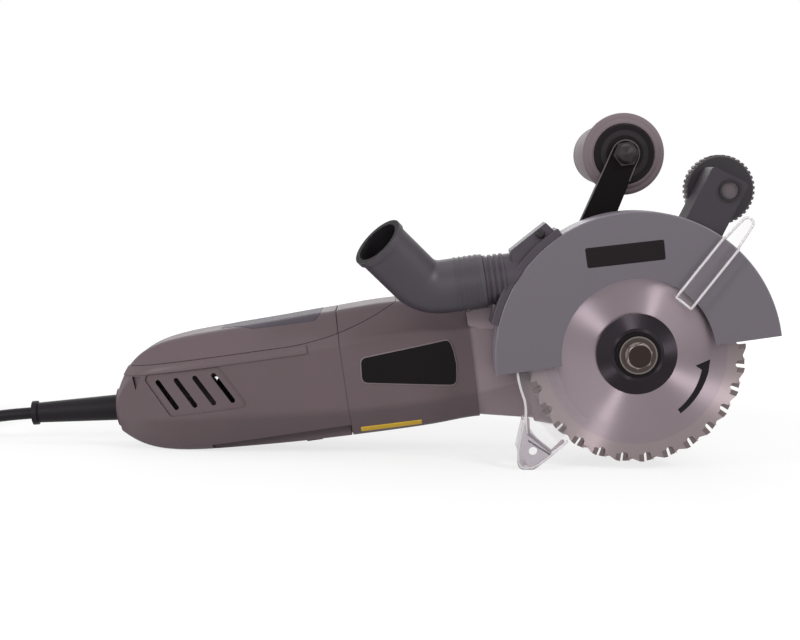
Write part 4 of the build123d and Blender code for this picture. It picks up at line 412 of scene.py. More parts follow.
class Surface(Shading):
    """Principled material under construction."""

    def __init__(self, name, color, roughness, metallic=0.0, specular=0.5):
        self.material = bpy.data.materials.new(name)
        self.material.use_nodes = True
        super().__init__(self.material.node_tree)
        self.shader = self.tree.nodes["Principled BSDF"]
        self.feed("Base Color", (*color, 1))
        self.feed("Roughness", roughness)
        self.feed("Metallic", metallic)
        self.feed("Specular IOR Level", specular)

    def feed(self, name, value):
        """Constant or output for an input of the shader."""
        self.fill(self.shader.inputs[name], value)

    def noise(self, scale, detail):
        return self.node("ShaderNodeTexNoise", Scale=scale, Detail=detail, Vector=self.place()).outputs["Fac"]

    def mix(self, value, first, second):
        made = self.node("ShaderNodeMix", data_type="RGBA", Factor=value, A=first, B=second)
        self.feed("Base Color", made.outputs["Result"])

    def tint(self, value, first, second):
        """Colour between two colours."""
        self.mix(value, (*first, 1), (*second, 1))

    def over(self, value, color):
        """Another colour laid over the one that feeds the shader."""
        self.mix(value, self.shader.inputs["Base Color"].links[0].from_socket, (*color, 1))

    def cloud(self, value, color, low, high):
        """Colour that strays between two shares of itself."""
        self.tint(value, scaled(color, low), scaled(color, high))

    def shine(self, value, low, high):
        """Roughness that strays between two values."""
        self.feed("Roughness", self.ramp(value, low=low, high=high))

    def bump(self, value, strength, depth):
        made = self.node("ShaderNodeBump", Strength=strength, Distance=depth, Height=value)
        self.feed("Normal", made.outputs["Normal"])

    def plastic_grain(self, low, high, strength=0.3, grain=PLASTIC_GRAIN):
        """Spark grain of a mould, duller in patches."""
        self.shine(self.noise(*PLASTIC_PATCHES), low, high)
        self.bump(self.noise(*grain), strength, PLASTIC_RELIEF)

    def orange_peel(self, low, high):
        """Faint waves of sprayed paint, duller in patches."""
        self.shine(self.noise(*PAINT_PATCHES), low, high)
        self.bump(self.noise(*PAINT_PEEL), strength=0.15, depth=PAINT_RELIEF)

    def radius_round(self, centre):
        """Distance of the shaded point from the axis along y through a centre, in metres."""
        shift = self.vector("SUBTRACT", self.place(), centre)
        return self.measure("LENGTH", self.vector("MULTIPLY", shift, (1, 0, 1)))

    def turned_rings(self, radius, rings_a_metre):
        """Noise that changes with the radius alone: the marks of a lathe or grinder."""
        stretched = self.math("MULTIPLY", radius, rings_a_metre)
        rings = self.node(
            "ShaderNodeTexNoise", noise_dimensions="1D", W=stretched, Scale=1.0, Detail=RING_DETAIL
        )
        return rings.outputs["Fac"]

    def turned_grain(self):
        """Highlights drawn out across the marks of turning round the object's own y axis."""
        self.feed("Anisotropic", 1.0)
        tangent = self.node("ShaderNodeTangent", direction_type="RADIAL", axis="Y")
        self.feed("Tangent", tangent.outputs["Tangent"])


# Camera, light and floor
def photo_axes():
    """Right, into the picture and up, as the tilted camera holds them."""
    roll = math.radians(VIEW_ROLL)
    right = Vector((math.cos(roll), 0, math.sin(roll)))
    up = Vector((-math.sin(roll), 0, math.cos(roll)))
    return right, AWAY.copy(), up


def add_camera():
    right, ahead, up = photo_axes()
    pitch = math.radians(VIEW_PITCH)
    look = ahead * math.cos(pitch) - up * math.sin(pitch)
    head = up * math.cos(pitch) + ahead * math.sin(pitch)
    data = bpy.data.cameras.new("camera")
    data.sensor_width = SENSOR_MM
    data.lens = FOCAL_PIXELS * SENSOR_MM / IMAGE_WIDTH
    data.clip_start = CLIP_FROM_M
    camera = bpy.data.objects.new("camera", data)
    place = BLADE + Vector((-VIEW_LEFT, -VIEW_DISTANCE, VIEW_ABOVE)) * MM
    camera.matrix_world = Matrix((
        (right.x, head.x, -look.x, place.x),
        (right.y, head.y, -look.y, place.y),
        (right.z, head.z, -look.z, place.z),
        (0, 0, 0, 1),
    ))
    bpy.context.scene.collection.objects.link(camera)
    bpy.context.scene.camera = camera


def add_lamp(name, place, size, power):
    """Rectangular lamp turned towards the object."""
    data = bpy.data.lights.new(name, "AREA")
    data.shape = "RECTANGLE"
    data.size, data.size_y = size
    data.energy = power
    lamp = bpy.data.objects.new(name, data)
    lamp.location = place
    lamp.rotation_euler = (Vector(LIT_MIDDLE) - Vector(place)).to_track_quat("-Z", "Y").to_euler()
    bpy.context.scene.collection.objects.link(lamp)


def add_world():
    """White surroundings, dimmer where they light the object than where they are seen."""
    world = bpy.data.worlds.new("studio")
    world.use_nodes = True
    made = Shading(world.node_tree)
    made.tree.nodes.clear()
    strength = made.node(
        "ShaderNodeMix", data_type="FLOAT", Factor=made.seen_directly(), A=SOFT_LIGHT, B=SEEN_WHITE
    )
    background = made.node("ShaderNodeBackground", Color=grey_of(1), Strength=strength.outputs["Result"])
    made.node("ShaderNodeOutputWorld", Surface=background.outputs["Background"])
    bpy.context.scene.world = world


def floor_white():
    """White that glows as seen, so that it meets the surroundings, and is plain white as it lights."""
    white = bpy.data.materials.new("floor_white")
    white.use_nodes = True
    made = Shading(white.node_tree)
    made.tree.nodes.clear()
    away = made.measure("LENGTH", made.place())
    rise = made.ramp(away, FLOOR_NEAR, FLOOR_FAR, FLOOR_GLOW, FLOOR_GLOW_FAR)
    glow = made.node("ShaderNodeEmission", Strength=rise).outputs["Emission"]
    shade = made.node("ShaderNodeBsdfDiffuse", Color=grey_of(FLOOR_SEEN)).outputs["BSDF"]
    seen = made.join("ShaderNodeAddShader", glow, shade).outputs["Shader"]
    bounce = made.node("ShaderNodeBsdfDiffuse", Color=grey_of(FLOOR_BOUNCE)).outputs["BSDF"]
    choose = made.join("ShaderNodeMixShader", made.seen_directly(), bounce, seen)
    made.node("ShaderNodeOutputMaterial", Surface=choose.outputs["Shader"])
    return white


def add_floor():
    mesh = bpy.data.meshes.new("floor")
    far = FLOOR_HALF
    mesh.from_pydata([(-far, -far, 0), (far, -far, 0), (far, far, 0), (-far, far, 0)], [], [(0, 1, 2, 3)])
    mesh.materials.append(floor_white())
    floor = bpy.data.objects.new("floor", mesh)
    floor.location.z = -FLOOR_DROP
    bpy.context.scene.collection.objects.link(floor)


def add_studio():
    bpy.context.scene.view_settings.view_transform = "Standard"
    add_world()
    add_floor()
    for lamp in LAMPS:
        add_lamp(*lamp)


# Materials
def moulded(name, color, roughness, grain=PLASTIC_GRAIN, strength=0.35, specular=0.35):
    """Injection moulded plastic: fine spark grain, faint cloudiness, duller in patches."""
    made = Surface(name, color, roughness, specular=specular)
    made.cloud(made.noise(*PLASTIC_CLOUD), color, low=0.92, high=1.08)
    made.plastic_grain(roughness - 0.07, roughness + 0.08, strength, grain)
    return made.material


def painted(name, color, roughness, specular=0.4):
    """Sprayed paint with faint orange peel."""
    made = Surface(name, color, roughness, specular=specular)
    made.cloud(made.noise(*PAINT_CLOUD), color, low=0.96, high=1.05)
    made.orange_peel(roughness - 0.05, roughness + 0.08)
    return made.material


def machined(name, color, roughness=0.3):
    """Turned or ground steel with fine scratches."""
    made = Surface(name, color, roughness, metallic=1.0)
    made.shine(made.noise(*STEEL_PATCHES), roughness - 0.08, roughness + 0.12)
    made.bump(made.noise(*STEEL_SCRATCHES), strength=0.2, depth=FINE_RELIEF)
    return made.material


def printed(name, color, roughness, specular=0.3):
    """Printed film: even colour with a faint cloud, fine rubbed scratches in its gloss."""
    made = Surface(name, color, roughness, specular=specular)
    made.cloud(made.noise(*FILM_CLOUD), color, low=0.9, high=1.1)
    made.shine(made.noise(*FILM_SCRATCHES), roughness - 0.06, roughness + 0.1)
    made.bump(made.noise(*FILM_WAVES), strength=0.06, depth=FINE_RELIEF)
    return made.material


def saw_plate(name):
    """Ground blade steel: rings of fine grain, and a rim with the teeth that is a little paler."""
    made = Surface(name, PLATE_BRIGHT, roughness=0.34, metallic=1.0)
    radius = made.radius_round(BLADE)
    made.tint(made.ramp(radius, BLADE_RIM_FROM_R, BLADE_RIM_TO_R), PLATE_BRIGHT, PLATE_RIM)
    rings = made.turned_rings(radius, BLADE_RINGS)
    made.shine(rings, low=0.42, high=0.54)
    made.bump(rings, strength=0.1, depth=TURNED_RELIEF)
    made.turned_grain()
    return made.material


def turned_black(name, color):
    """Blackened turned steel with fine rings and drawn-out highlights."""
    made = Surface(name, color, roughness=0.34, metallic=1.0)
    rings = made.turned_rings(made.radius_round(BLADE), FLANGE_RINGS)
    made.cloud(rings, color, low=0.8, high=1.25)
    made.shine(rings, low=0.38, high=0.5)
    made.bump(rings, strength=0.1, depth=FINE_RELIEF)
    made.turned_grain()
    return made.material


def bolt_finish(name):
    """Browned bolt head: dark top, a painted highlight on its chamfer and sides, a dark collar with a painted
    highlight on its rim.
    """
    made = Surface(name, BRONZED, roughness=0.3, metallic=1.0)
    radius = made.radius_round(BLADE)
    # Painted highlights on the chamfer and sides, then on the collar's rim
    made.tint(made.ramp(radius, BOLT_TOP_R, BOLT_TOP_R + EDGE_BLEND), BRONZED, BOLT_EDGE_HIGHLIGHT)
    made.over(made.ramp(radius, BOLT_SIDE_R, BOLT_SIDE_R + EDGE_BLEND), BOLT_COLLAR)
    made.over(made.ramp(radius, BOLT_RIM_R, BOLT_RIM_R + 2 * EDGE_BLEND), BOLT_RIM_HIGHLIGHT)
    grain = made.noise(*BOLT_GRAIN)
    made.shine(grain, low=0.2, high=0.4)
    made.bump(grain, strength=0.2, depth=TURNED_RELIEF)
    return made.material


def wheel_finish(name):
    """Dark moulded wheel with a painted highlight on its knurls, and a paler end of its shaft."""
    made = Surface(name, WHEEL_GREY, roughness=0.5, specular=0.35)
    radius = made.radius_round(FEED_SHAFT)
    # Painted highlight: paler colour on the knurled rim
    made.tint(made.ramp(radius, KNURL_R, KNURL_R + 2 * EDGE_BLEND), WHEEL_GREY, WHEEL_KNURL_HIGHLIGHT)
    made.over(made.ramp(radius, SHAFT_R + EDGE_BLEND, SHAFT_R), SHAFT_GREY)
    made.plastic_grain(low=0.42, high=0.56)
    return made.material


def block_finish(name):
    """Charcoal moulding with painted shade in a ring round the feed shaft."""
    made = Surface(name, BLOCK_GREY, roughness=0.5, specular=0.35)
    ring = made.ramp(made.radius_round(FEED_SHAFT), SHAFT_RING_R + EDGE_BLEND, SHAFT_RING_R)
    # Painted shade in the gap round the shaft
    made.tint(ring, BLOCK_GREY, BORE_SHADE)
    made.plastic_grain(low=0.43, high=0.58, strength=0.35)
    return made.material


def core_finish(name):
    """Black moulding, paler in a ring on its near flange."""
    made = Surface(name, BLACK, roughness=0.5, specular=0.12)
    eye_x, eye_z = ARM_EYE[:2]
    radius = made.radius_round(tool(eye_x, 0, eye_z))
    made.tint(made.ramp(radius, PALE_RING_FROM_R, PALE_RING_FROM_R + EDGE_BLEND), BLACK, CORE_RING_PALE)
    made.over(made.ramp(radius, PALE_RING_TO_R, PALE_RING_TO_R + EDGE_BLEND), BLACK)
    made.plastic_grain(low=0.42, high=0.56)
    return made.material


def guard_finish(name):
    """Sprayed guard: faint orange peel, and a painted highlight along the outer rim."""
    made = Surface(name, GUARD_GREY, roughness=0.42, specular=0.4)
    # Painted highlight along the outer rim
    rim = made.ramp(made.radius_round(BLADE), GUARD_RIM_FROM_R, GUARD_RIM_TO_R)
    made.tint(rim, GUARD_GREY, scaled(GUARD_GREY, GUARD_RIM_HIGHLIGHT))
    made.orange_peel(low=0.36, high=0.5)
    return made.material


def clear_plastic(name):
    """Clear moulded sheet, lightly scuffed, with a greyer solid foot outside the rim."""
    made = Surface(name, CLEAR_TINT, roughness=0.08)
    made.feed("Transmission Weight", CLEAR_THROUGH)
    made.feed("IOR", CLEAR_IOR)
    height = made.node("ShaderNodeSeparateXYZ", Vector=made.place()).outputs["Z"]
    low = made.ramp(height, FOOT_TOP + CLEAR_BLEND, FOOT_TOP)
    outside = made.ramp(made.radius_round(BLADE), FOOT_FROM_R, FOOT_FROM_R + CLEAR_BLEND)
    foot = made.math("MULTIPLY", low, outside)
    made.tint(foot, CLEAR_TINT, FOOT_TINT)
    made.feed("Alpha", made.ramp(foot, low=WALL_HIDES, high=FOOT_HIDES))
    made.shine(made.noise(*CLEAR_SCUFFS), low=0.02, high=0.10)
    return made.material


def clear_edge_highlight(name):
    """Painted highlight for the edges of the clear moulding."""
    made = Surface(name, CLEAR_EDGE_HIGHLIGHT, roughness=0.12)
    made.feed("Transmission Weight", EDGE_THROUGH)
    made.feed("IOR", CLEAR_IOR)
    made.shine(made.noise(*EDGE_SCUFFS), low=0.06, high=0.2)
    return made.material


def elbow_finish(name, specular):
    """Charcoal moulding with painted shade in the bore behind its mouth, and darker on the face of its mouth."""
    made = Surface(name, ELBOW_GREY, roughness=0.38, specular=specular)
    shift = made.vector("SUBTRACT", made.place(), PORT_PLACE)
    radius = made.measure("LENGTH", made.vector("CROSS_PRODUCT", shift, PORT_AXIS))
    along = made.measure("DOT_PRODUCT", shift, PORT_AXIS)
    face = made.math("GREATER_THAN", along, -MOUTH_FACE)
    limit = made.math("MULTIPLY_ADD", face, MOUTH_DARK, PORT_R + BORE_MARGIN)
    inside = made.math("LESS_THAN", radius, limit)
    reach = made.math("GREATER_THAN", along, -(PORT_LENGTH + BORE_MARGIN))
    # Painted shade in the bore behind the mouth; the face of the mouth is darkened too
    made.tint(made.math("MULTIPLY", inside, reach), ELBOW_GREY, BORE_SHADE)
    made.plastic_grain(low=0.42, high=0.54)
    return made.material


def give(material, *names):
    for name in names:
        node = frame["nodes"][name]
        node.data.materials.clear()
        node.data.materials.append(material)


def dull_mouth(material):
    """Second material for the flat face at the end of the elbow."""
    mesh = frame["nodes"]["dust_elbow"].data
    mesh.materials.append(material)
    for face in mesh.polygons:
        if (face.center - PORT_PLACE).dot(PORT_AXIS) > -MOUTH_FACE:
            face.material_index = 1


def dress_outside():
    """Material for every CAD node that shows."""
    give(moulded("housing_plastic", TAUPE, roughness=0.46, specular=0.24),
         "handle_lower_shell", "handle_top_cover", "motor_housing")
    # Painted shade: the housing's taupe darkened for the paddle, and used again on the sunk notch floors
    give(moulded("painted_shade_plastic", scaled(TAUPE, 0.85), roughness=0.5), "paddle_switch")
    give(painted("casting_paint", CASE_GREY, roughness=0.42), "gear_case", "gear_case_cover")
    give(guard_finish("guard_paint"), "upper_guard")
    give(moulded("hood_plastic", scaled(CHARCOAL, 1.6), roughness=0.44, specular=0.3), "dust_hood")
    give(block_finish("block_plastic"), "lube_block")
    give(elbow_finish("elbow_plastic", specular=0.5), "dust_elbow")
    dull_mouth(elbow_finish("mouth_plastic", specular=0.06))
    give(wheel_finish("wheel_plastic"), "feed_wheel")
    give(clear_plastic("clear_guard_plastic"), "clear_guard")
    give(painted("arm_paint", scaled(BLACK, 0.7), roughness=0.4, specular=0.06), "handle_arm")
    give(moulded("grip_rubber", GRIP_GREY, roughness=0.6, grain=GRIP_GRAIN, strength=0.15), "handle_grip")
    give(core_finish("core_plastic"), "handle_core")
    give(turned_black("blackened_flange", FLANGE_BLACK), "outer_flange")
    give(painted("black_washer", BLACK, roughness=0.4, specular=0.1), "blade_washer")
    give(bolt_finish("bronzed_bolt"), "blade_bolt")
    give(painted("black_oxide", scaled(BLACK, 2.0), roughness=0.34, specular=0.3),
         "handle_nut", "guard_screws", "hood_screw")
    give(saw_plate("blade_steel"), "front_blade", "rear_blade")
    give(machined("carbide", CARBIDE, roughness=0.36), "front_blade_tips", "rear_blade_tips")
    give(moulded("cord_rubber", SHEATH, roughness=0.5, grain=BOOT_GRAIN, specular=0.16),
         "cord_boot", "coil_tie", "plug_body")
    give(machined("plated_pins", PIN_PLATING, roughness=0.22), "plug_pins")


def dress_inside():
    """Material for the CAD nodes inside, and for the steel ones that show a little."""
    give(moulded("inner_plastic", BLACK, roughness=0.5, specular=0.1),
         "switch_body", "brush_carrier", "fan", "lock_off_slider")
    give(machined("turned_steel", STEEL),
         "arm_bolts", "handle_bolt", "inner_spindle", "outer_sleeve", "far_bevel_gear", "near_bevel_gear",
         "bevel_pinion", "armature_shaft", "guard_retaining_ring", "housing_screws", "rear_blade_screws",
         "paddle_pin", "paddle_spring")
    give(machined("bearing_steel", BEARING_STEEL, roughness=0.2),
         "sleeve_bearing", "spindle_bearing", "armature_front_bearing", "armature_rear_bearing")
    give(painted("laminations", LAMINATION, roughness=0.5), "stator_core", "armature_core")
    give(machined("copper", COPPER, roughness=0.34), "field_coils", "commutator")
    give(machined("brass", BRASS, roughness=0.3), "brush_holders", "sleeve_bush")
    give(moulded("carbon", CARBON, roughness=0.7), "carbon_brushes")
    give(moulded("wax", WAX, roughness=0.4), "lube_stick")


# Pieces laid on the nodes
def node_surface(name):
    """Faces of a node, for rays that are cast at it."""
    mesh = frame["nodes"][name].data
    corners = [vertex.co for vertex in mesh.vertices]
    return BVHTree.FromPolygons(corners, [tuple(polygon.vertices) for polygon in mesh.polygons])


def over_surface(surface, start, way, height):
    """Point at a height in millimetres over the place where a ray meets a surface."""
    hit, normal = surface.ray_cast(start, way)[:2]
    if normal.dot(way) > 0:
        normal = -normal
    return hit + normal * height * MM


def band(mesh, low, high):
    """Faces between two closed rows of points."""
    return [mesh.faces.new((low[i - 1], low[i], high[i], high[i - 1])) for i in range(len(low))]


def fan(mesh, row, hub):
    """Faces between a closed row of points and one point."""
    for i in range(len(row)):
        mesh.faces.new((row[i - 1], row[i], hub))


def add_piece(name, mesh, body, *materials, smooth=False):
    """Object made of a mesh, with its faces turned outwards; it rides on a body."""
    bmesh.ops.recalc_face_normals(mesh, faces=mesh.faces)
    for polygon in mesh.faces:
        polygon.smooth = smooth
    data = bpy.data.meshes.new(name)
    mesh.to_mesh(data)
    mesh.free()
    for material in materials:
        data.materials.append(material)
    piece = bpy.data.objects.new(name, data)
    bpy.context.scene.collection.objects.link(piece)
    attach(piece, body)


# Blank plates
def from_near(u, v):
    """Start and direction of a look at the near side, at tool x and z."""
    return tool(u, -BEYOND, v), AWAY


def from_above(u, v):
    """Start and direction of a look down on the tool, at tool x and y."""
    return tool(u, v, BEYOND), -UP


def middle_of(outline):
    return sum(outline, Vector((0, 0))) / len(outline)


def rounded(corners, radius):
    """Closed outline with its corners rounded and its runs divided."""
    outline = []
    for i, point in enumerate(corners):
        corner = Vector(point)
        back = Vector(corners[i - 1]) - corner
        ahead = Vector(corners[(i + 1) % len(corners)]) - corner
        longest = CORNER_SHARE * min(back.length, ahead.length)
        reach = min(radius / math.tan(back.angle(ahead) / 2), longest)
        start = corner + back.normalized() * reach
        end = corner + ahead.normalized() * reach
        for share in evenly(0, 1, CORNER_STEPS):
            outline.append(start.lerp(corner, share).lerp(corner.lerp(end, share), share))
    divided = []
    for i, first in enumerate(outline):
        second = outline[(i + 1) % len(outline)]
        pieces = max(1, math.ceil((second - first).length / PLATE_STEP))
        divided += [first.lerp(second, k / pieces) for k in range(pieces)]
    return divided


def inset(outline, distance):
    """Closed outline moved inwards."""
    middle = middle_of(outline)
    moved = []
    for i, point in enumerate(outline):
        along = outline[(i + 1) % len(outline)] - outline[i - 1]
        inwards = Vector((-along.y, along.x)).normalized()
        if inwards.dot(middle - point) < 0:
            inwards = -inwards
        moved.append(point + inwards * distance)
    return moved


def resized(outline, share):
    """Closed outline drawn in or out from its middle."""
    middle = middle_of(outline)
    return [middle.lerp(point, share) for point in outline]


def add_plate(name, corners, look, node, face, radius, lift, rim=None, border=PLATE_BORDER):
    """Thin plate with rounded corners that lies on a node's surface; rim is the material of its border."""
    surface = node_surface(node)
    outline = rounded(corners, radius)
    flat = inset(outline, PLATE_BEVEL)
    inner = inset(outline, PLATE_BEVEL + border)
    rows = [(outline, -PLATE_SINK), (outline, lift - PLATE_BEVEL / 2), (flat, lift), (inner, lift)]
    middle = middle_of(outline)
    rings = math.ceil(min((point - middle).length for point in inner) / PLATE_STEP)
    rows += [(resized(inner, k / rings), lift) for k in range(rings - 1, 0, -1)]
    mesh = bmesh.new()
    made = []
    for row, height in rows:
        made.append([mesh.verts.new(over_surface(surface, *look(*point), height)) for point in row])
    for k, (low, high) in enumerate(zip(made, made[1:])):
        for quad in band(mesh, low, high):
            quad.material_index = 1 if rim and k < RIM_ROWS else 0
    for row, height in ((made[-1], lift), (made[0], -PLATE_SINK)):
        fan(mesh, row, mesh.verts.new(over_surface(surface, *look(*middle), height)))
    materials = (face, rim) if rim else (face,)
    add_piece(name, mesh, "saw_body", *materials, smooth=True)


def add_plates():
    gloss = printed("plate_gloss", scaled(BLACK, 0.8), roughness=0.2, specular=0.1)
    # Painted highlight: grey border round the black nameplate
    edge = printed("plate_edge_highlight", PLATE_EDGE_HIGHLIGHT, roughness=0.36)
    film = printed("black_film", scaled(BLACK, 1.4), roughness=0.4, specular=0.12)
    grey = printed("grey_film", FILM_GREY, roughness=0.5, specular=0.15)
    yellow = printed("yellow_film", FILM_YELLOW, roughness=0.42)
    add_plate(
        "side_plate", NAMEPLATE, from_near, "motor_housing", gloss, radius=4.6, lift=0.4, rim=edge,
        border=NAMEPLATE_BORDER
    )
    add_plate("guard_plate", GUARD_PLATE, from_near, "upper_guard", film, radius=1.2, lift=0.2)
    add_plate("top_plate", TOP_PLATE, from_above, "handle_top_cover", grey, radius=3.0, lift=0.25)
    add_plate("edge_strip", STRIP, from_near, "motor_housing", yellow, radius=0.5, lift=0.25)


# Arrow on the blade
def blade_point(radius, angle, depth):
    """Point on the blade's near face, by radius and angle from the motor axis."""
    turn = math.radians(angle)
    place = tool(radius * math.cos(turn), 0, radius * math.sin(turn))
    place.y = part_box("front_blade")[0].y - depth * MM
    return place


def add_arrow():
    """Printed arrow that shows which way the front blade turns: a bent, widening shaft and a barbed head."""
    angles = evenly(ARROW_TAIL, ARROW_NECK, ARROW_STEPS)
    inner = list(zip(evenly(*ARROW_INNER, ARROW_STEPS), angles))
    outer = list(zip(evenly(*ARROW_OUTER, ARROW_STEPS), angles))
    mesh = bmesh.new()
    sides = []
    for depth in (PRINT_THICK, 0.0):
        low = [mesh.verts.new(blade_point(radius, angle, depth)) for radius, angle in inner]
        high = [mesh.verts.new(blade_point(radius, angle, depth)) for radius, angle in outer]
        tip = mesh.verts.new(blade_point(*ARROW_TIP, depth))
        barb = mesh.verts.new(blade_point(*ARROW_BARB, depth))
        for k in range(ARROW_STEPS):
            mesh.faces.new((low[k], low[k + 1], high[k + 1], high[k]))
        mesh.faces.new((low[-1], tip, high[-1]))
        mesh.faces.new((low[-1], barb, tip))
        sides.append(low + [barb, tip] + high[::-1])
    band(mesh, *sides)
    add_piece("turn_arrow", mesh, "front_drive", printed("arrow_ink", BLACK, roughness=0.5, specular=0.15))


# Beads along edges
def add_bead(name, points, body, material, thick=BEAD_R):
    """Round bead swept along points of the tool frame, with domed ends."""
    places = [tool(*point) for point in points]
    turns = [2 * math.pi * k / BEAD_SIDES for k in range(BEAD_SIDES)]
    mesh = bmesh.new()
    rows = []
    for i, place in enumerate(places):
        ahead = places[min(i + 1, len(places) - 1)] - places[max(i - 1, 0)]
        side = ahead.cross(AWAY).normalized()
        out = side.cross(ahead).normalized()
        spokes = [side * math.cos(turn) + out * math.sin(turn) for turn in turns]
        rows.append([mesh.verts.new(place + spoke * thick * MM) for spoke in spokes])
    for low, high in zip(rows, rows[1:]):
        band(mesh, low, high)
    for row, tip, inner in ((rows[0], places[0], places[1]), (rows[-1], places[-1], places[-2])):
        fan(mesh, row, mesh.verts.new(tip + (tip - inner).normalized() * thick * MM))
    add_piece(name, mesh, body, material, smooth=True)


def at_depth(points, y):
    """Points of the tool frame at one depth, by their x and z."""
    return [(x, y, z) for x, z in points]


def on_circle(radius, turn):
    return radius * math.cos(turn), radius * math.sin(turn)


def on_lever(radius, aside):
    """Point on the lever: how far along it from the blade's axis, and aside from its middle."""
    turn = math.radians(LEVER_ANGLE)
    x, z = on_circle(radius, turn)
    return x - aside * math.sin(turn), LEVER_Y, z + aside * math.cos(turn)


def add_guard_beads():
    """Edges of the clear guard: painted highlights along the rim, foot and lever, and the foot's grey border and
    dark fold.
    """
    bright = clear_edge_highlight("clear_edge_highlight")
    rim = [on_circle(EDGE_R, math.radians(angle)) for angle in EDGE_ANGLES]
    rim += EDGE_RIM
    add_bead("rim_bead", at_depth(rim, EDGE_Y), "swing_guard", bright)
    add_bead("foot_bead", at_depth(EDGE_FOOT, EDGE_Y), "swing_guard", bright)
    border = moulded("window_edge", WINDOW_GREY, roughness=0.4)
    add_bead("window_bead", at_depth(WINDOW_EDGE, EDGE_Y + WINDOW_R), "swing_guard", border, WINDOW_R)
    fold = moulded("foot_fold", FOLD_GREY, roughness=0.4)
    add_bead("fold_bead", at_depth(FOOT_FOLD, EDGE_Y), "swing_guard", fold, FOLD_R)
    along = evenly(LEVER_FROM_R, LEVER_TO_R, LEVER_STEPS)
    across = evenly(-LEVER_HALF, LEVER_HALF, LEVER_STEPS)
    add_bead("rail_upper", [on_lever(radius, LEVER_HALF) for radius in along], "swing_guard", bright)
    add_bead("rail_lower", [on_lever(radius, -LEVER_HALF) for radius in along], "swing_guard", bright)
    add_bead("root_bead", [on_lever(LEVER_FROM_R, aside) for aside in across], "swing_guard", bright)
    add_bead("tab_bead", [on_lever(*point) for point in TAB_LOOP], "swing_guard", bright)


def on_arm(end, angle):
    """Point just inside the edge of one of the arm's round ends, as x and z."""
    x, z, radius = end
    return Vector((x, z)) + Vector(on_circle(radius - ARM_EDGE_R / 2, angle))


def add_arm_edge():
    """Painted highlight: a paler bead along the arm's near edge, up its left side, round the eye, a little down
    the right.
    """
    near = (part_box("handle_arm")[0].y - BLADE.y) / MM
    along = Vector(ARM_EYE[:2]) - Vector(ARM_FOOT[:2])
    lean = math.asin((ARM_FOOT[2] - ARM_EYE[2]) / along.length)
    heading = math.atan2(along.y, along.x)
    left = heading + math.pi / 2 - lean
    right = heading - math.pi / 2 + lean
    start = on_arm(ARM_FOOT, left)
    top = on_arm(ARM_EYE, left)
    path = [start.lerp(top, share) for share in evenly(ARM_EDGE_FROM, 1, ARM_SIDE_STEPS)[:-1]]
    path += [on_arm(ARM_EYE, angle) for angle in evenly(left, right, ARM_TURNS)]
    path.append(path[-1].lerp(on_arm(ARM_FOOT, right), ARM_EDGE_BACK))
    arm_highlight = painted("arm_edge_highlight", ARM_EDGE_HIGHLIGHT, roughness=0.34, specular=0.4)
    add_bead("arm_edge", at_depth(path, near), "saw_body", arm_highlight, ARM_EDGE_R)


# Small forms on the housing
def add_lug_cap():
    """Cast ridge along the top of the lug, with rounded edges."""
    mesh = bmesh.new()
    near, far = [[mesh.verts.new(tool(x, y, z)) for x, z in LUG_CAP] for y in (LUG_NEAR, LUG_FAR)]
    mesh.faces.new(near)
    mesh.faces.new(far)
    band(mesh, near, far)
    bmesh.ops.recalc_face_normals(mesh, faces=mesh.faces)
    bmesh.ops.bevel(
        mesh, geom=mesh.edges[:], offset=LUG_EDGE * MM, segments=LUG_EDGE_STEPS, affect="EDGES", profile=0.5
    )
    add_piece("lug_cap", mesh, "saw_body", bpy.data.materials["casting_paint"], smooth=True)


def add_notches():
    """Sunk floors of the three-cornered recesses at the rear corners of the handle, on both sides, in the
    housing's taupe darkened as painted shade.
    """
    surface = node_surface("handle_lower_shell")
    corners = [Vector(corner) for corner in NOTCH]
    spread = resized(corners, NOTCH_SPREAD)
    for name, side in (("notch_near", -1), ("notch_far", 1)):
        mesh = bmesh.new()
        layers = []
        for sink in (NOTCH_SINK, NOTCH_SINK + NOTCH_THICK):
            starts = [tool(x, MOTOR_Y + side * BEYOND, z) for x, z in spread]
            floor = [over_surface(surface, start, -AWAY * side, -sink) for start in starts]
            layers.append([mesh.verts.new(place) for place in floor])
        for layer in layers:
            mesh.faces.new(layer)
        band(mesh, *layers)
        add_piece(name, mesh, "saw_body", bpy.data.materials["painted_shade_plastic"])


def add_joint_lip():
    """Thin lip that closes the joint between the handle and the motor housing, just below their surface."""
    surface = node_surface("motor_housing")
    mesh = bmesh.new()
    rows = []
    for angle in JOINT_ANGLES:
        out_y, out_z = on_circle(1.0, math.radians(angle))
        start = tool(JOINT_LOOK_X, MOTOR_Y + BEYOND * out_y, MOTOR_Z + BEYOND * out_z)
        hit = surface.ray_cast(start, -(AWAY * out_y + UP * out_z))[0]
        reach = BEYOND - (hit - start).length / MM
        if MOTOR_Z + reach * out_z > JOINT_TOP:
            continue
        row = []
        for aside, sink in JOINT_SECTION:
            radius = reach - sink
            place = tool(JOINT_X + aside, MOTOR_Y + radius * out_y, MOTOR_Z + radius * out_z)
            row.append(mesh.verts.new(place))
        rows.append(row)
    for low, high in zip(rows, rows[1:]):
        band(mesh, low, high)
    mesh.faces.new(rows[0])
    mesh.faces.new(rows[-1])
    add_piece("joint_lip", mesh, "saw_body", bpy.data.materials["housing_plastic"])


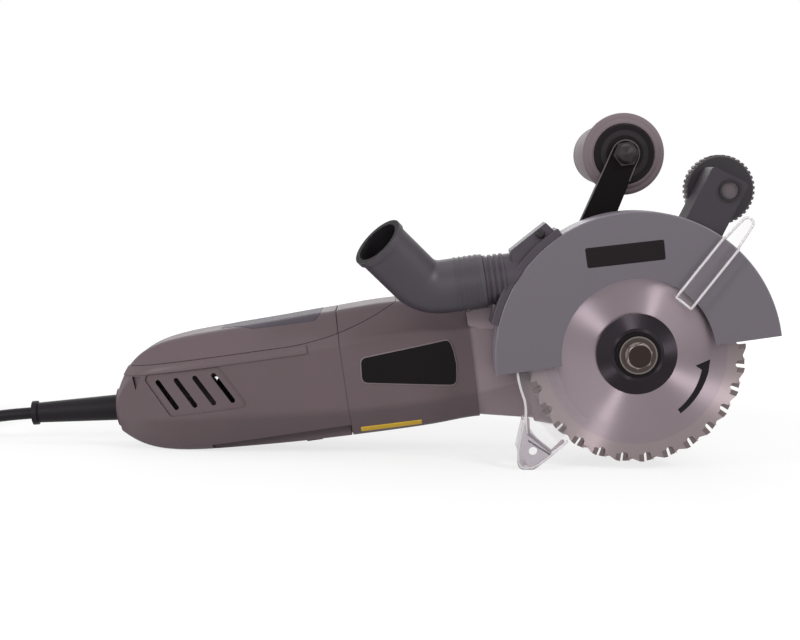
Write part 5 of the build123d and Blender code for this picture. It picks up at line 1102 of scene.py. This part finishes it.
# Cord
def coil_point(turns):
    """Point of the coil's centre line, in millimetres from its centre: in, half a turn up, out on top."""
    outer = COIL_INNER_R + COIL_TURNS_IN * TURN_STEP
    radius = outer - TURN_STEP * turns
    height = COIL_Z
    past = turns - COIL_TURNS_IN
    if past > 0:
        share = min(past / COIL_CLIMB, 1.0)
        radius = COIL_INNER_R - TURN_STEP / 2 * share * (1 - share)
        height = COIL_Z + LAYER_STEP * (1 - math.cos(math.pi * share)) / 2
    if past > COIL_CLIMB:
        radius = COIL_INNER_R + TURN_STEP * (past - COIL_CLIMB)
    turn = 2 * math.pi * turns
    return Vector((-radius * math.sin(turn), outer - radius * math.cos(turn), height))


def cord_points():
    """Control points of the whole cord, in metres: free stretch, coil and straight end at the plug."""
    low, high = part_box("mains_cord")
    across_y = (low.y + high.y) / 2
    slope = EXIT_WAY.z / -EXIT_WAY.x
    points = [EXIT, EXIT + Vector((-CORD_STRAIGHT, 0, CORD_STRAIGHT * slope)) * MM]
    for back, height in (*CORD_ROUTE, (CORD_LANDING, COIL_Z), (CORD_END, COIL_Z)):
        points.append(Vector((EXIT.x - back * MM, across_y, height * MM)))
    centre = Vector((EXIT.x - (CORD_END + COIL_LEAD) * MM, across_y, 0))
    turns = COIL_TURNS_IN + COIL_CLIMB + COIL_TURNS_OUT
    count = round(turns * COIL_POINTS_A_TURN)
    points += [centre + coil_point(i / COIL_POINTS_A_TURN) * MM for i in range(count + 1)]
    half_tail = Vector((-COIL_TAIL / 2, 0, 0)) * MM
    points.append(points[-1] + half_tail)
    points.append(points[-1] + half_tail)
    return points


def add_cord():
    data = bpy.data.curves.new("mains_lead", "CURVE")
    data.dimensions = "3D"
    data.bevel_depth = CORD_R * MM
    data.bevel_resolution = CORD_SIDES
    data.use_fill_caps = True
    spline = data.splines.new("NURBS")
    points = cord_points()
    spline.points.add(len(points) - 1)
    for target, point in zip(spline.points, points):
        target.co = (*point, 1)
    spline.order_u = CORD_ORDER
    spline.use_endpoint_u = True
    spline.resolution_u = CORD_STEPS
    lead = bpy.data.objects.new("mains_lead", data)
    bpy.context.scene.collection.objects.link(lead)
    data.materials.append(moulded("lead_sheath", SHEATH, roughness=0.46, grain=SHEATH_GRAIN, specular=0.16))
    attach(lead, "saw_body")
    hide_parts("mains_cord", "cord_coil")


add_camera()
add_studio()
add_cord()
dress_outside()
dress_inside()
add_plates()
add_joint_lip()
add_lug_cap()
add_notches()
add_guard_beads()
add_arm_edge()
add_arrow()
bpy.context.view_layer.update()
